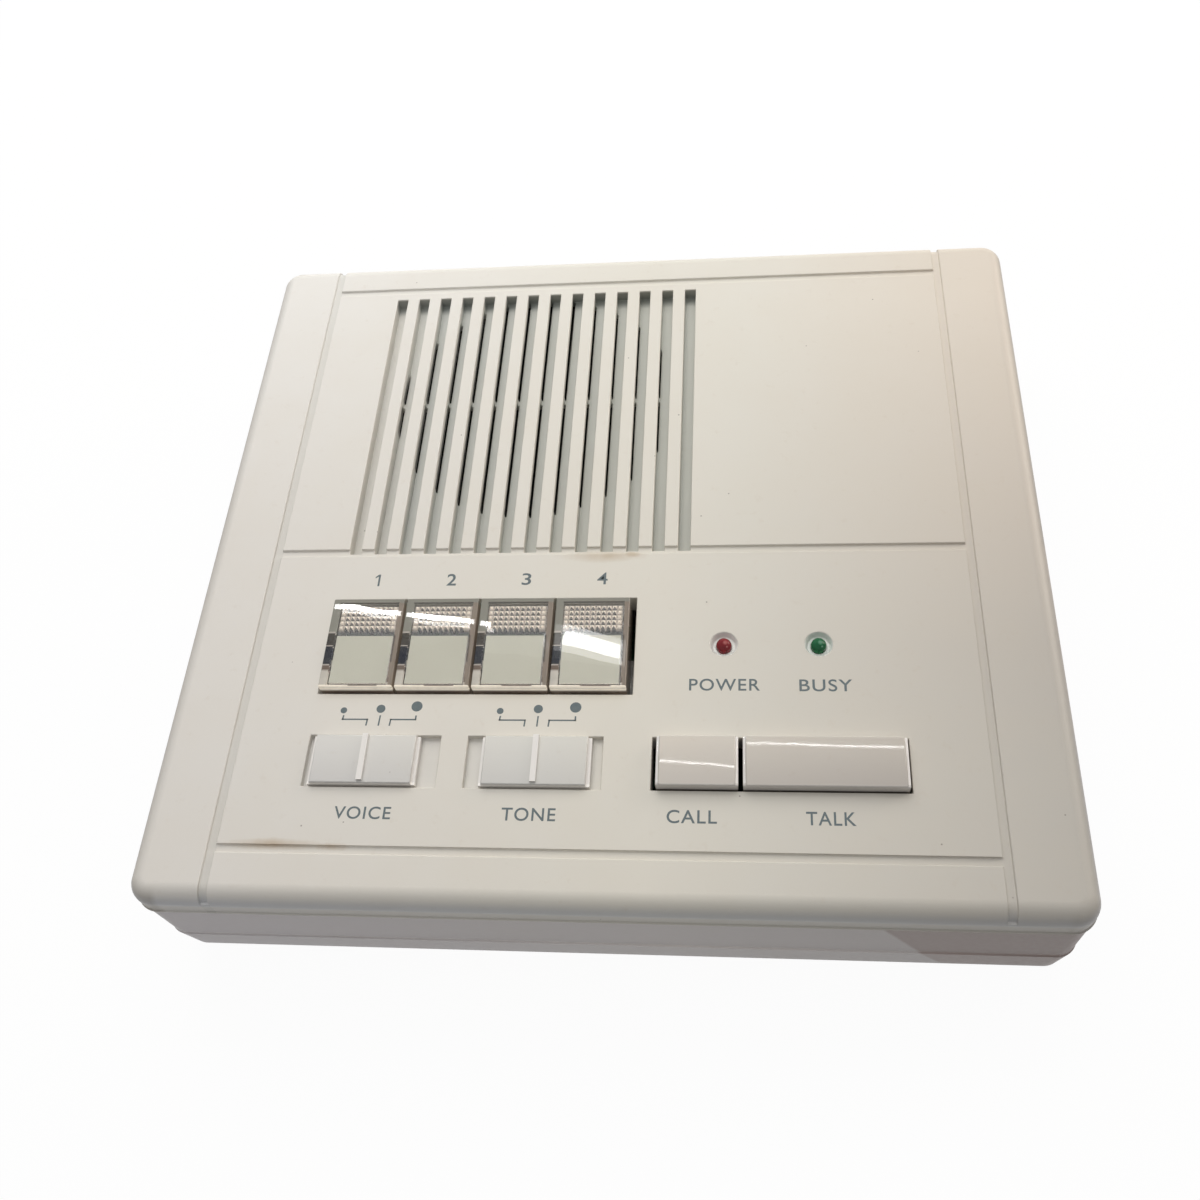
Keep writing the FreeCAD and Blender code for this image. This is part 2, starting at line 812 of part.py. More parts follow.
def build_feet():
    z = ("0", "foot_height + foot_recess")
    feet = [frustum(x, y, z, "foot_diameter - foot_draft", "foot_diameter") for x, y in foot_spots]
    publish(group(*feet), "rubber_feet")


def screw(x, y, seat, form, diameter, head, length):
    # A screw that goes in upwards; seat is the face its head bears on, and form makes the head.
    shank = prism(x, y, (f"({seat}) - head_height / 2", f"({seat}) + ({length})"), diameter)
    return fuse(shank, form(x, y, (f"({seat}) - head_height", seat), head))


def build_case_screws():
    length = "case_boss_joint + case_screw_length - screw_seat - tip_room"
    screws = [screw(x, y, "screw_seat", barrel, "case_screw", "case_screw_head", length)
              for x, y in case_screw_spots]
    publish(group(*screws), "case_screws")


# ---- loudspeaker -----------------------------------------------------------------------------

def turned(points):
    # A stack of frustums through (height, diameter) pairs.
    steps = zip(points, points[1:])
    return [frustum("speaker_x", "speaker_y", (low[0], high[0]), low[1], high[1]) for low, high in steps]


def disc(z, diameter):
    return barrel("speaker_x", "speaker_y", z, diameter)


def build_basket():
    rim_inner = "speaker_diameter - 2 * gasket_width"
    flange = disc(("clamp_seat", "basket_top"), "speaker_diameter")
    bowl = turned([("magnet_top", "speaker_neck"), ("clamp_seat", rim_inner)])
    hollow = turned([("magnet_top + speaker_sheet", "speaker_neck - speaker_sheet"), ("basket_top", rim_inner)])
    coil_hole = disc(("magnet_top - margin", "basket_top"), "coil_diameter + 2 * coil_gap")
    window_z = ("magnet_top - margin", "clamp_seat")
    reach = f"{rim_inner} - 2 * window_border"
    bars = fuse(
        block(around("speaker_x", reach), around("speaker_y", "basket_window"), window_z),
        block(around("speaker_x", "basket_window"), around("speaker_y", reach), window_z))
    windows = cut(bars, disc(window_z, "speaker_neck + 2 * window_border"))
    publish(cut(fuse(flange, *bowl), *hollow, coil_hole, windows), "speaker_basket")


def build_magnet():
    magnet_low = "speaker_bottom + plate_height"
    magnet_high = "magnet_top - plate_height"
    publish(fuse(
        disc(("speaker_bottom", magnet_low), "plate_diameter"),
        disc((magnet_low, magnet_high), "magnet_diameter"),
        disc((magnet_high, "magnet_top"), "plate_diameter")), "speaker_magnet")


def build_cone():
    edge = "speaker_diameter - 2 * (gasket_width + weld)"
    surround = f"{edge} - 2 * surround_width"
    neck = "coil_diameter + 2 * cap_wall"
    foot = "magnet_top + coil_rise"
    valley = "basket_top - surround_drop"
    flange = disc(("basket_top", "basket_top + cone_wall"), "speaker_diameter")
    body = turned([(f"{foot} - cone_body", neck), (valley, surround), ("basket_top", edge)])
    hollow = turned([(foot, neck), (f"{valley} + cone_wall", surround), ("basket_top + cone_wall", edge)])
    coil_hole = disc((f"{foot} - cone_body - margin", foot), "coil_diameter")
    publish(cut(fuse(flange, *body), *hollow, coil_hole), "speaker_cone")
    crown = f"{foot} + cap_rise"
    cap = turned([(foot, neck), (f"{crown} + cap_wall", "coil_diameter / 2")])
    inside = turned([(foot, "coil_diameter"), (crown, "coil_diameter / 2 - cap_wall")])
    publish(cut(*cap, *inside), "speaker_dust_cap")


def build_speaker():
    build_basket()
    build_magnet()
    build_cone()
    z = ("grille_underside - gasket_height", "grille_underside")
    publish(cut(disc(z, "speaker_diameter"), disc(z, "speaker_diameter - 2 * gasket_width")), "speaker_gasket")
    washer_z = ("clamp_seat - clamp_height", "clamp_seat")
    hole_z = ("clamp_seat - clamp_height - margin", "clamp_seat + margin")
    clamp_hole = "board_screw + 2 * loose_play"
    washers = [cut(prism(x, y, washer_z, "clamp_diameter"), prism(x, y, hole_z, clamp_hole))
               for x, y in clamp_spots]
    publish(group(*washers), "speaker_clamps")
    screws = [screw(x, y, washer_z[0], prism, "board_screw", "board_screw_head", "clamp_screw_length")
              for x, y in clamp_spots]
    publish(group(*screws), "clamp_screws")


# ---- station keys ----------------------------------------------------------------------------

def push_switch(x, y, width, depth):
    bore_width = "stem_width + 2 * stem_play"
    body = block(around(x, width), around(y, depth), ("board_level", "switch_top"))
    bore_z = ("board_level + switch_floor", "switch_top + margin")
    return cut(body, block(around(x, bore_width), around(y, bore_width), bore_z))


def key_cap(number, x):
    cap = Moulding(f"Cap{number}")
    cap.pad(cap.rectangle(around(x, "key_width"), ("key_front", "key_back"), "key_skirt"), "key_height")
    cap.soften(level("key_crown"), "key_edge")
    inside = cap.rectangle(widened(around(x, "key_width"), "-key_wall"),
                           widened(("key_front", "key_back"), "-key_wall"), "key_skirt")
    cap.pocket_up(inside, "key_height - key_top")
    return cap.body


def key_holder(x):
    # The plunger: a plate that backs the slip, a cross of webs, and the stem that runs in the switch.
    plate_low = "slip_underside - holder_plate"
    web_z = ("key_skirt + web_rise", plate_low)
    inner_width = "key_width - 2 * key_wall - 2 * stem_play"
    return fuse(
        block(around(f"{x} + slip_shift", "slip_width"), around("stem_y", "slip_length"),
              (plate_low, "slip_underside")),
        block(around(x, inner_width), around("stem_y", "web_wall"), web_z),
        block(around(x, "web_wall"), around("stem_y", "slip_length"), web_z),
        block(around(x, "stem_width"), around("stem_y", "stem_width"),
              ("board_level + key_travel + stem_room", plate_low)))


def build_station_key(number, x):
    publish(key_cap(number, x), f"key_cap_{number}")
    lens_z = ("key_ceiling - lens_height", "key_ceiling")
    lens = block(around(x, "lens_width"), around("lens_y", "lens_length"), lens_z)
    publish(lens, f"key_lens_{number}")
    slip_x = around(f"{x} + slip_shift", "slip_width")
    slip = block(slip_x, around("stem_y", "slip_length"), ("slip_underside", "key_ceiling"))
    publish(slip, f"key_label_{number}")
    publish(key_holder(x), f"key_holder_{number}")
    publish(push_switch(x, "stem_y", "switch_width", "switch_depth"), f"key_switch_{number}")


def led_legs(x, y, top):
    legs_x = [f"({x}) + ({side}) * led_leg_pitch / 2" for side in (-1, 1)]
    return [block(around(leg_x, "led_leg"), around(y, "led_leg"), ("board_level", top)) for leg_x in legs_x]


def led(x, y, low):
    body_top = f"({low}) + led_length - led_diameter / 2"
    flange_top = f"({low}) + led_flange_height"
    return fuse(
        prism(x, y, (low, flange_top), "led_flange"),
        rod(x, y, (low, body_top), "led_diameter"),
        dome(x, y, body_top, "led_diameter"),
        *led_legs(x, y, flange_top))


def bulb(x, y, low):
    # A plain lamp that stays out of sight under a key's lens.
    body = prism(x, y, (low, f"({low}) + led_length"), "led_diameter")
    return fuse(body, *led_legs(x, y, f"({low}) + led_flange_height"))


def key_frame():
    # A steel channel over the four switches, with a window for each stem.
    x = widened(key_well_x, "well_guide")
    y = around("stem_y", "switch_depth + 2 * frame_sheet")
    top = block(x, y, ("switch_top", "switch_top + frame_sheet"))
    leg_z = ("board_level", "switch_top + frame_sheet")
    left = block((x[0], f"{x[0]} + frame_sheet"), y, leg_z)
    right = block((f"{x[1]} - frame_sheet", x[1]), y, leg_z)
    window = "stem_width + 2 * frame_hole_play"
    window_z = ("switch_top - margin", "switch_top + frame_sheet + margin")
    windows = [block(around(spot, window), around("stem_y", window), window_z) for spot in key_spots]
    return cut(fuse(top, left, right), *windows)


def build_key_bank():
    for number, x in enumerate(key_spots, start=1):
        build_station_key(number, x)
    publish(key_frame(), "key_frame")
    low = "key_ceiling - lens_height - key_travel - led_length - lamp_clear"
    publish(group(*[bulb(x, "lens_y", low) for x in key_spots]), "key_lamps")


# ---- call and talk keys ----------------------------------------------------------------------

def button_shell(name, x, y):
    # A hollow key with a lowered ledge at each end.
    shoulder = "button_crown - ledge_drop"
    key = Moulding(name.capitalize())
    key.pad(key.rectangle(x, y, "button_skirt"), "button_height - ledge_drop")
    key.pad(key.rectangle(widened(x, "-ledge_width"), y, shoulder), "ledge_drop")
    key.soften(level("button_crown"), "button_edge")
    inside = key.rectangle(widened(x, "-button_wall"), widened(y, "-button_wall"), "button_skirt")
    key.pocket_up(inside, "button_height - ledge_drop - button_wall")
    return key.body


def build_button(name, x):
    y = ("button_front", "button_back")
    centre = f"(({x[0]}) + ({x[1]})) / 2"
    shell_ceiling = "button_crown - ledge_drop - button_wall"
    stem_z = ("board_level + button_travel + stem_room", f"{shell_ceiling} + weld")
    stem = block(around(centre, "stem_width"), around("button_y", "stem_width"), stem_z)
    web_z = ("button_skirt + web_rise", f"{shell_ceiling} + weld")
    web = block(widened(x, "-button_wall / 2"), around("button_y", "web_wall"), web_z)
    publish(fuse(button_shell(name, x, y), stem, web), f"{name}_button")
    publish(push_switch(centre, "button_y", "button_switch", "button_switch"), f"{name}_switch")


# ---- slides ----------------------------------------------------------------------------------

def knob_top(name, centre):
    y = widened(button_well_y, "-knob_play")
    knob = Moulding(name.capitalize())
    knob.pad(knob.rectangle(around(centre, "knob_width"), y, "knob_underside"), "knob_flange")
    top = knob.rectangle(around(centre, "knob_width - 2 * knob_ledge"), y, "knob_shoulder")
    knob.pad(top, "knob_crown - knob_shoulder")
    knob.soften(level("knob_crown"), "knob_edge")
    rib = knob.rectangle(around(centre, "rib_width"), (f"{y[0]} + rib_setback", y[1]), "knob_crown - weld")
    knob.pad(rib, "rib_height + weld")
    return knob.body


def build_slide(name, recess_centre):
    centre = f"{recess_centre} + slide_offset + ({slide_rest[name]})"
    fork_y = around("recess_y", "fork_depth")
    fork_z = ("slide_switch_top + fork_clear", "knob_underside + weld")
    fork = block(around(centre, fork_width), fork_y, fork_z)
    gap_z = ("slide_switch_top", "slide_switch_top + lever_height + fork_clear")
    gap = block(around(centre, "lever_width + 2 * fork_play"), widened(fork_y, "margin"), gap_z)
    publish(fuse(knob_top(name, centre), cut(fork, gap)), f"{name}_knob")
    lever_z = ("slide_switch_top", "slide_switch_top + lever_height")
    lever = block(around(centre, "lever_width"), around("recess_y", "fork_depth - 2 * lever_play"), lever_z)
    publish(lever, f"{name}_lever")
    can = block(around(f"{recess_centre} + slide_offset", "slide_switch_width"),
                around("recess_y", "slide_switch_depth"), ("board_level", "slide_switch_top"))
    publish(can, f"{name}_switch")


# ---- boards ----------------------------------------------------------------------------------

def board(x, y, top, spots):
    plate_z = (f"{top} - board_thickness", top)
    hole_z = (f"{top} - board_thickness - margin", f"{top} + margin")
    holes = [prism(*spot, hole_z, "board_screw + 2 * loose_play") for spot in spots]
    return cut(block(x, y, plate_z), *holes)


def build_boards():
    control_y = ("control_board_y", "control_board_y + control_board_depth")
    control = board(around("0", "control_board_width"), control_y, "board_level", control_screw_spots)
    publish(control, "control_board")
    seat = "board_level - board_thickness"
    length = "board_thickness + board_screw_length - tip_room"
    screws = [screw(*spot, seat, prism, "board_screw", "board_screw_head", length)
              for spot in control_screw_spots]
    publish(group(*screws), "control_board_screws")
    amplifier_span_x = ("amplifier_x", "amplifier_x + amplifier_width")
    amplifier_span_y = ("amplifier_y", "amplifier_y + amplifier_depth")
    amplifier = board(amplifier_span_x, amplifier_span_y, "amplifier_level", amplifier_screw_spots)
    publish(amplifier, "amplifier_board")
    downward = []
    for x, y in amplifier_screw_spots:
        shank = prism(x, y, ("floor_top", "amplifier_level + head_height / 2"), "board_screw")
        head = prism(x, y, ("amplifier_level", "amplifier_level + head_height"), "board_screw_head")
        downward.append(fuse(shank, head))
    publish(group(*downward), "amplifier_board_screws")


def board_spot(across, along):
    # A place on the amplifier board, as shares of its width and depth.
    return f"amplifier_x + {across} * amplifier_width", f"amplifier_y + {along} * amplifier_depth"


def standing(spot, width, depth, height):
    return block(around(spot[0], width), around(spot[1], depth),
                 ("amplifier_level", f"amplifier_level + {height}"))


component_spots = {
    "transformer": [(0.33, 0.26)],
    "large_can": [(0.70, 0.18), (0.70, 0.35)],
    "small_can": [(0.15, 0.52), (0.83, 0.52)],
    "chip": [(0.48, 0.53), (0.48, 0.67)],
}


def build_components():
    spots = {kind: [board_spot(*share) for share in shares] for kind, shares in component_spots.items()}
    core = standing(spots["transformer"][0], "core_width", "core_depth", "core_height")
    winding = standing(spots["transformer"][0], "winding_width", "winding_depth", "winding_height")
    publish(fuse(core, winding), "transformer")
    cans = []
    for kind in ("large_can", "small_can"):
        z = ("amplifier_level", f"amplifier_level + {kind}_height")
        cans += [barrel(*spot, z, kind) for spot in spots[kind]]
    publish(group(*cans), "capacitors")
    chips = [standing(spot, "chip_width", "chip_depth", "chip_height") for spot in spots["chip"]]
    publish(group(*chips), "audio_chips")


def build_ribbon():
    # A flat jumper with a connector at each end, from the control board's back edge
    # to the amplifier board's front edge.
    rear = "control_board_y + control_board_depth - ribbon_inset"
    front = "amplifier_y + ribbon_inset"
    middle_x = "amplifier_x + ribbon_offset"
    strip = block(around(middle_x, "ribbon_width"), (rear, front),
                  ("connector_top - ribbon_thickness", "connector_top"))
    connector_x = around(middle_x, "ribbon_width + 2 * margin")
    near = block(connector_x, around(rear, "connector_depth"), ("board_level", "connector_top"))
    far = block(connector_x, around(front, "connector_depth"), ("amplifier_level", "connector_top"))
    publish(fuse(strip, near, far), "board_ribbon")


# ---- sockets at the back ---------------------------------------------------------------------

def build_jack():
    body = block(around(jack_x, "jack_width"), ("jack_face - jack_depth", "jack_face"),
                 ("amplifier_level", "amplifier_level + jack_height"))
    bore_y = ("jack_face - jack_bore_depth", "jack_face + margin")
    bore = laid_along_y(barrel, jack_x, bore_y, jack_z, "jack_bore")
    pin_y = ("jack_face - jack_bore_depth - weld", "jack_face - jack_pin_setback")
    publish(fuse(cut(body, bore), laid_along_y(barrel, jack_x, pin_y, jack_z, "jack_pin")), "dc_jack")


def build_terminals():
    inner = widened(terminal_x, "-socket_play")
    body_z = ("amplifier_level", "amplifier_level + terminal_height - socket_play")
    strip = block(inner, ("terminal_face - terminal_depth", "terminal_face"), body_z)
    rib_y = ("terminal_face - weld", "terminal_face + terminal_rib_depth")
    first = f"{inner[0]} + terminal_rib / 2"
    inner_ribs = range(1, int(sizes["terminal_count"]))
    ribs = [block(around(f"{first} + {index} * terminal_pitch", "terminal_rib"), rib_y, body_z)
            for index in inner_ribs]
    middles = [f"{first} + ({index} + 0.5) * terminal_pitch" for index in range(int(sizes["terminal_count"]))]
    height = "amplifier_level + terminal_height / 2"
    hole_y = ("terminal_face - terminal_screw_length - margin", "terminal_face + margin")
    holes = [laid_along_y(prism, x, hole_y, height, "terminal_screw + screw_play") for x in middles]
    publish(cut(fuse(strip, *ribs), *holes), "terminal_block")
    shank_y = ("terminal_face - terminal_screw_length", "terminal_face + terminal_head_height / 2")
    head_y = ("terminal_face", "terminal_face + terminal_head_height")
    screws = [fuse(laid_along_y(prism, x, shank_y, height, "terminal_screw"),
                   laid_along_y(barrel, x, head_y, height, "terminal_head")) for x in middles]
    publish(group(*screws), "terminal_screws")


build_top_cover()
build_base_shell()
build_feet()
build_case_screws()
build_speaker()
build_key_bank()
for key_name, key_span in buttons.items():
    build_button(key_name, key_span)
for slide_name, slide_centre in slides.items():
    build_slide(slide_name, slide_centre)
for lamp_name, lamp_x in lamps.items():
    publish(led(lamp_x, "lamp_y", "led_underside"), f"{lamp_name}_led")
build_boards()
build_components()
build_ribbon()
build_jack()
build_terminals()
doc.recompute()

for item in doc.Objects:
    if "Invalid" in item.State or "Error" in item.State:
        raise RuntimeError(f"{item.Label} failed: {item.State}")
for node in nodes:
    if node.Shape.isNull() or not node.Shape.isValid():
        raise RuntimeError(f"{node.Label} has no valid shape")

os.makedirs("parts", exist_ok=True)
for node in nodes:
    node.Shape.exportStep(f"parts/{node.Label}.step")
print(len(nodes), "nodes")
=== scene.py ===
import json
import math

import bmesh
import bpy
from mathutils import Matrix, Vector

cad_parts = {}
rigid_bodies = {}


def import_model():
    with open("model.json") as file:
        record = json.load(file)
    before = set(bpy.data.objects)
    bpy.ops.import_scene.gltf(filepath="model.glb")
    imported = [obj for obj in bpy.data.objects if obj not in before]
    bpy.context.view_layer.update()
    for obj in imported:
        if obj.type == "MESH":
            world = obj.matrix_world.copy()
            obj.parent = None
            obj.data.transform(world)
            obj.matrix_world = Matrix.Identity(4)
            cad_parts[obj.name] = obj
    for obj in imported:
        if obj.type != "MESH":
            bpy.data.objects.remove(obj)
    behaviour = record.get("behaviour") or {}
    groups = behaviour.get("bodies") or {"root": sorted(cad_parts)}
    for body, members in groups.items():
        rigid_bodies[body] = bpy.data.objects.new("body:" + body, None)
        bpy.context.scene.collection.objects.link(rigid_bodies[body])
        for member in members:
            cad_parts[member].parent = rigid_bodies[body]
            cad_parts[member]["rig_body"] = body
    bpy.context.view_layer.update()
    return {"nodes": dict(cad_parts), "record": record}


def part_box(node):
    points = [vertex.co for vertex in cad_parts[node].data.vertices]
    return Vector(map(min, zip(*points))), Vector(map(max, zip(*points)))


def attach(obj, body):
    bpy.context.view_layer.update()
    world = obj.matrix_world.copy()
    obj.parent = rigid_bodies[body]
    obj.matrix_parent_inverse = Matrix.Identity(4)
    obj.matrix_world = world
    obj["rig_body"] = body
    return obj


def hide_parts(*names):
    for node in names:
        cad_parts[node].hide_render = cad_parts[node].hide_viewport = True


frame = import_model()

nodes = frame["nodes"]
scene = bpy.context.scene
mm = 0.001
bodyOf = {name: nodes[name]["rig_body"] for name in nodes}
slotOf = {part["node"]: part["material_slot"] for part in frame["record"]["subparts"]}
print("frame loaded,", len(nodes), "nodes")


# shader maths

class Signal:
    # one output socket that can stand in a plain expression
    def __init__(self, finish, socket):
        self.finish = finish
        self.socket = socket

    def __add__(self, other):
        return self.finish.calc("ADD", self, other)

    def __radd__(self, other):
        return self.finish.calc("ADD", other, self)

    def __sub__(self, other):
        return self.finish.calc("SUBTRACT", self, other)

    def __rsub__(self, other):
        return self.finish.calc("SUBTRACT", other, self)

    def __mul__(self, other):
        return self.finish.calc("MULTIPLY", self, other)

    def __rmul__(self, other):
        return self.finish.calc("MULTIPLY", other, self)

    def __mod__(self, other):
        return self.finish.calc("FLOORED_MODULO", self, other)

    def __rmod__(self, other):
        return self.finish.calc("FLOORED_MODULO", other, self)

    def __or__(self, other):        # the greater of two masks
        return self.finish.calc("MAXIMUM", self, other)

    def __ror__(self, other):
        return self.finish.calc("MAXIMUM", other, self)

    def __abs__(self):
        return self.finish.calc("ABSOLUTE", self)


class Finish:
    # a material, or a world, under construction in object coordinates
    def __init__(self, name, library=None):
        self.owner = (bpy.data.materials if library is None else library).new(name)
        self.owner.use_nodes = True
        self.tree = self.owner.node_tree
        self.tree.nodes.clear()
        self.place = self.add("TexCoord", out="Object")

    def add(self, kind, settings=None, sockets=None, out=0):
        node = self.tree.nodes.new("ShaderNode" + kind)
        for name, value in (settings or {}).items():
            if name == "stops":
                self.setStops(node.color_ramp, value)
            else:
                setattr(node, name, value)
        for name, value in (sockets or {}).items():
            if isinstance(value, Signal):
                self.tree.links.new(value.socket, node.inputs[name])
            else:
                node.inputs[name].default_value = value
        return Signal(self, node.outputs[out]) if node.outputs else None

    def setStops(self, ramp, stops):
        # plain colours side by side
        ramp.interpolation = "CONSTANT"
        while len(ramp.elements) < len(stops):
            ramp.elements.new(1.0)
        for element, (position, tone) in zip(ramp.elements, stops):
            element.position = position
            element.color = opaque(tone)

    def calc(self, operation, first, second=0.0):
        return self.add("Math", {"operation": operation}, {0: first, 1: second})

    def axes(self, source=None):
        split = self.add("SeparateXYZ", None, {0: source or self.place})
        return [Signal(self, output) for output in split.socket.node.outputs]

    def ramp(self, value, start, end, least=0.0):
        # from least at the start to 1 at the end
        return self.add("MapRange", None, {0: value, 1: start, 2: end, 3: least, 4: 1.0})

    def noise(self, scale, detail, roughness):
        sockets = {"Vector": self.place, "Scale": scale, "Detail": detail, "Roughness": roughness}
        return self.add("TexNoise", None, sockets)

    def grain(self, noise):
        # a noise that is at hand, or one from its scale, detail and roughness
        return self.noise(*noise) if isinstance(noise, tuple) else noise

    def patches(self, noise, low, high, amount):
        return self.ramp(self.grain(noise), low, high) * amount

    def bands(self, value, low, high, stops):
        # stops are given as starts and tones, in the units of the value
        stops = [((start - low) / (high - low), tone) for start, tone in stops]
        return self.add("ValToRGB", {"stops": stops}, {0: self.ramp(value, low, high)})

    def blend(self, mask, first, second, kind="MIX"):
        sockets = {0: mask, 6: opaque(first), 7: opaque(second)}
        return self.add("Mix", {"data_type": "RGBA", "blend_type": kind}, sockets, out=2)

    def fade(self, mask, tone, tint):
        return self.blend(mask, tone, tint, "MULTIPLY")

    def reach(self, spot, stretch=(1, 1, 1)):
        # distance from a spot, with each axis stretched
        moved = self.add("VectorMath", {"operation": "SUBTRACT"}, {0: self.place, 1: spot})
        scaled = self.add("VectorMath", {"operation": "MULTIPLY"}, {0: moved, 1: stretch})
        return self.add("VectorMath", {"operation": "LENGTH"}, {0: scaled}, out="Value")

    def bump(self, height, distance, strength=1.0, under=None):
        sockets = {"Height": self.grain(height), "Distance": distance, "Strength": strength}
        if under:
            sockets["Normal"] = under
        return self.add("Bump", None, sockets)

    def shader(self, colour, roughness, normal, more=None):
        sockets = {"Base Color": opaque(colour), "Roughness": roughness, "Normal": normal}
        return self.add("BsdfPrincipled", None, {**sockets, **(more or {})})

    def surface(self, shader, kind="OutputMaterial"):
        self.add(kind, None, {"Surface": shader})
        return self.owner

    def seeThrough(self, body, tint):
        # shadows fall straight through clear plastic
        through = self.add("BsdfTransparent", None, {"Color": opaque(tint)})
        shadow = self.add("LightPath", out="Is Shadow Ray")
        return self.surface(self.add("MixShader", None, {0: shadow, 1: body, 2: through}))

    def seenDirectly(self):
        # 1 for the rays that should meet plain white: camera, mirror and clear rays
        camera, mirror, clear = [self.add("LightPath", out=f"Is {ray} Ray")
                                 for ray in ("Camera", "Glossy", "Transmission")]
        return camera | mirror | clear


def opaque(colour):
    return (*colour, 1.0) if isinstance(colour, tuple) and len(colour) == 3 else colour


# moulded plastic
# A zone is a tint, mostly painted light or shade, and the ramps that overlap there, each an axis,
# the two places in millimetres between which it rises, and sometimes its least value. Here and
# below, a noise is its scale, detail and roughness, patches add where they start, end and how much
# they show, and a skin or wave adds its height in metres and its strength.

casePlastic = {
    # painted light falloff over the whole case: yellower towards the right, a painted warm light at
    # the right back, painted shade at the front right and painted light at the back left
    "zones": [
        ((0.98, 0.975, 0.93), [("across", -80, 0)]),
        ((1.0, 0.935, 0.90), [("across", 30, 90), ("along", -60, 0, 0.4)]),
        ((0.69, 0.70, 0.72), [("across", 10, 95), ("along", 70, -30)]),
        ((1.13, 1.15, 1.17), [("along", 0, 85), ("across", 120, -90)]),
    ],
    "mottle": ((60.0, 4.0, 0.6), 0.35, 0.75, 0.10),
    "dust": ((420.0, 3.0, 0.65), 0.62, 0.80, 0.10),
    "aged": (0.62, 0.54, 0.41),
    "stain": (0.42, 0.30, 0.17),
    "stainEdge": (180.0, 4.0, 0.7),
    "stainRagged": 0.9,             # these three are parts of a stain's radius
    "stainCore": 0.55,
    "stainRim": 1.5,
    "speck": (0.16, 0.13, 0.11),
    "speckScale": 115.0,
    "speckSize": (0.026, 0.014),
    "speckAmount": 0.7,
    "wave": ((24.0, 1.0, 0.4), 0.00012, 0.5),
    "grain": ((2600.0, 2.0, 0.6), 0.000012, 0.6),
    "glossGrain": ((2600.0, 2.0, 0.6), 0.0000012, 0.6),
    "sheen": (900.0, 2.0, 0.5),
    "sheenSpread": 0.4,
    "ior": 1.5,
}

cover = {
    "colour": (0.715, 0.687, 0.640),
    "roughness": 0.42,
    "zones": [
        # painted shade in the deep slots: cooler and darker, darkest at their back ends
        ((0.745, 0.785, 0.80), [("height", 35.6, 34.0), ("height", 32.0, 33.0),
                                ("along", -5.5, -4.0), ("across", -58.0, -50.0, 0.3)]),
        ((0.55, 0.57, 0.57), [("height", 36.3, 35.9), ("along", 71.6, 73.4), ("along", 75.6, 75.4),
                              ("across", 20.0, 19.0), ("across", -66.0, -65.0)]),
        # painted cool shade deep in the slides' recesses, painted shade on the rounded shoulders
        # and in one groove
        ((0.95, 0.99, 1.08), [("height", 35.6, 34.0), ("height", 32.0, 33.0),
                              ("along", -49.0, -50.0)]),
        ((0.74, 0.72, 0.69), [("across", -88.0, -89.5), ("height", 36.45, 35.1),
                              ("across", 160, -90)]),
        ((0.74, 0.72, 0.69), [("across", 88.0, 89.5), ("height", 36.45, 35.1),
                              ("across", 160, -90)]),
        ((0.90, 0.905, 0.90), [("across", -77.3, -77.5), ("across", -79.5, -79.3),
                               ("height", 36.45, 36.25)]),
    ],
    # painted light: the lamps' dish walls are painted lighter and cooler
    "lampDish": (1.27, 1.37, 1.46),
    "lampDishRim": (3.5 * mm, 3.3 * mm),
    "lampDishDepth": (36.48 * mm, 36.3 * mm),
    "stains": [                     # place, stretch and radius in metres, and how much
        ((-0.0016, -0.0072, 0.036), (0.30, 1.6, 1.0), 0.0030, 0.55),
        ((0.0046, -0.0068, 0.036), (0.7, 1.5, 1.0), 0.0016, 0.65),
        ((-0.0650, -0.0759, 0.036), (0.16, 1.5, 1.0), 0.0019, 0.65),
        ((-0.0535, -0.0762, 0.036), (0.35, 1.5, 1.0), 0.0013, 0.5),
    ],
}

base = {
    "colour": (0.705, 0.66, 0.665),
    "roughness": 0.45,
    # the lean of the painted shadow's slanting edge
    "lean": 0.575,                  # of the dark patch's edge
    "zones": [
        # a painted shadow at one end of the front, with a slanting edge, and painted light on the
        # bead's shaded crease
        ((0.56, 0.47, 0.44), [("slant", 70.9, 71.8), ("along", -78.0, -82.0),
                              ("height", 2.5, 4.5)]),
        ((1.35, 1.35, 1.35), [("height", 12.2, 12.5), ("height", 13.4, 13.1)]),
    ],
}

# the axes that a zone may name
measures = {
    "across": lambda x, y, z: x,
    "along": lambda x, y, z: y,
    "height": lambda x, y, z: z,
    "slant": lambda x, y, z: x + z * base["lean"],
}
lampSpots = [(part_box(name)[0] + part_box(name)[1]) / 2 for name in ("power_led", "busy_led")]


# each zone paints its tint, mostly painted light or shade
def tintZones(finish, tone, zones):
    axes = finish.axes()
    for tint, ramps in zones:
        masks = [finish.ramp(measures[axis](*axes), start * mm, end * mm, *least)
                 for axis, start, end, *least in ramps]
        tone = finish.fade(math.prod(masks[1:], start=masks[0]), tone, tint)
    return tone


def paintedDishLight(finish, tone):
    # painted light on the walls of each lamp's dish
    height = finish.axes()[2]
    for lamp in lampSpots:
        dish = finish.ramp(finish.reach(lamp, (1, 1, 0)), *cover["lampDishRim"])
        dish = dish * finish.ramp(height, *cover["lampDishDepth"])
        tone = finish.fade(dish, tone, cover["lampDish"])
    return tone


pressKey = {
    "colour": (0.68, 0.635, 0.59),
    "roughness": 0.05,
    "top": 38.9 * mm,
    # painted shade on the front face, and a painted shadow in the gap below it
    "front": (0.80, 0.79, 0.78),
    "gap": (0.35, 0.33, 0.31),
    "slowWave": (75.0, 1.5, 0.5),
    "slowHeight": 0.00005,
    "tilt": (0.9, 0.052),           # the short key sits a little back
    "tiltEnd": (28.7 * mm, 28.4 * mm),
    "middle": -57.6 * mm,
    "edge": 0.28 * mm,
    "angle": 40.0,
    "segments": 3,
    "crown": 0.19 * mm,
    "crownDepth": 0.6 * mm,
    "cuts": 10,
    "cutNear": 1e-7,
}

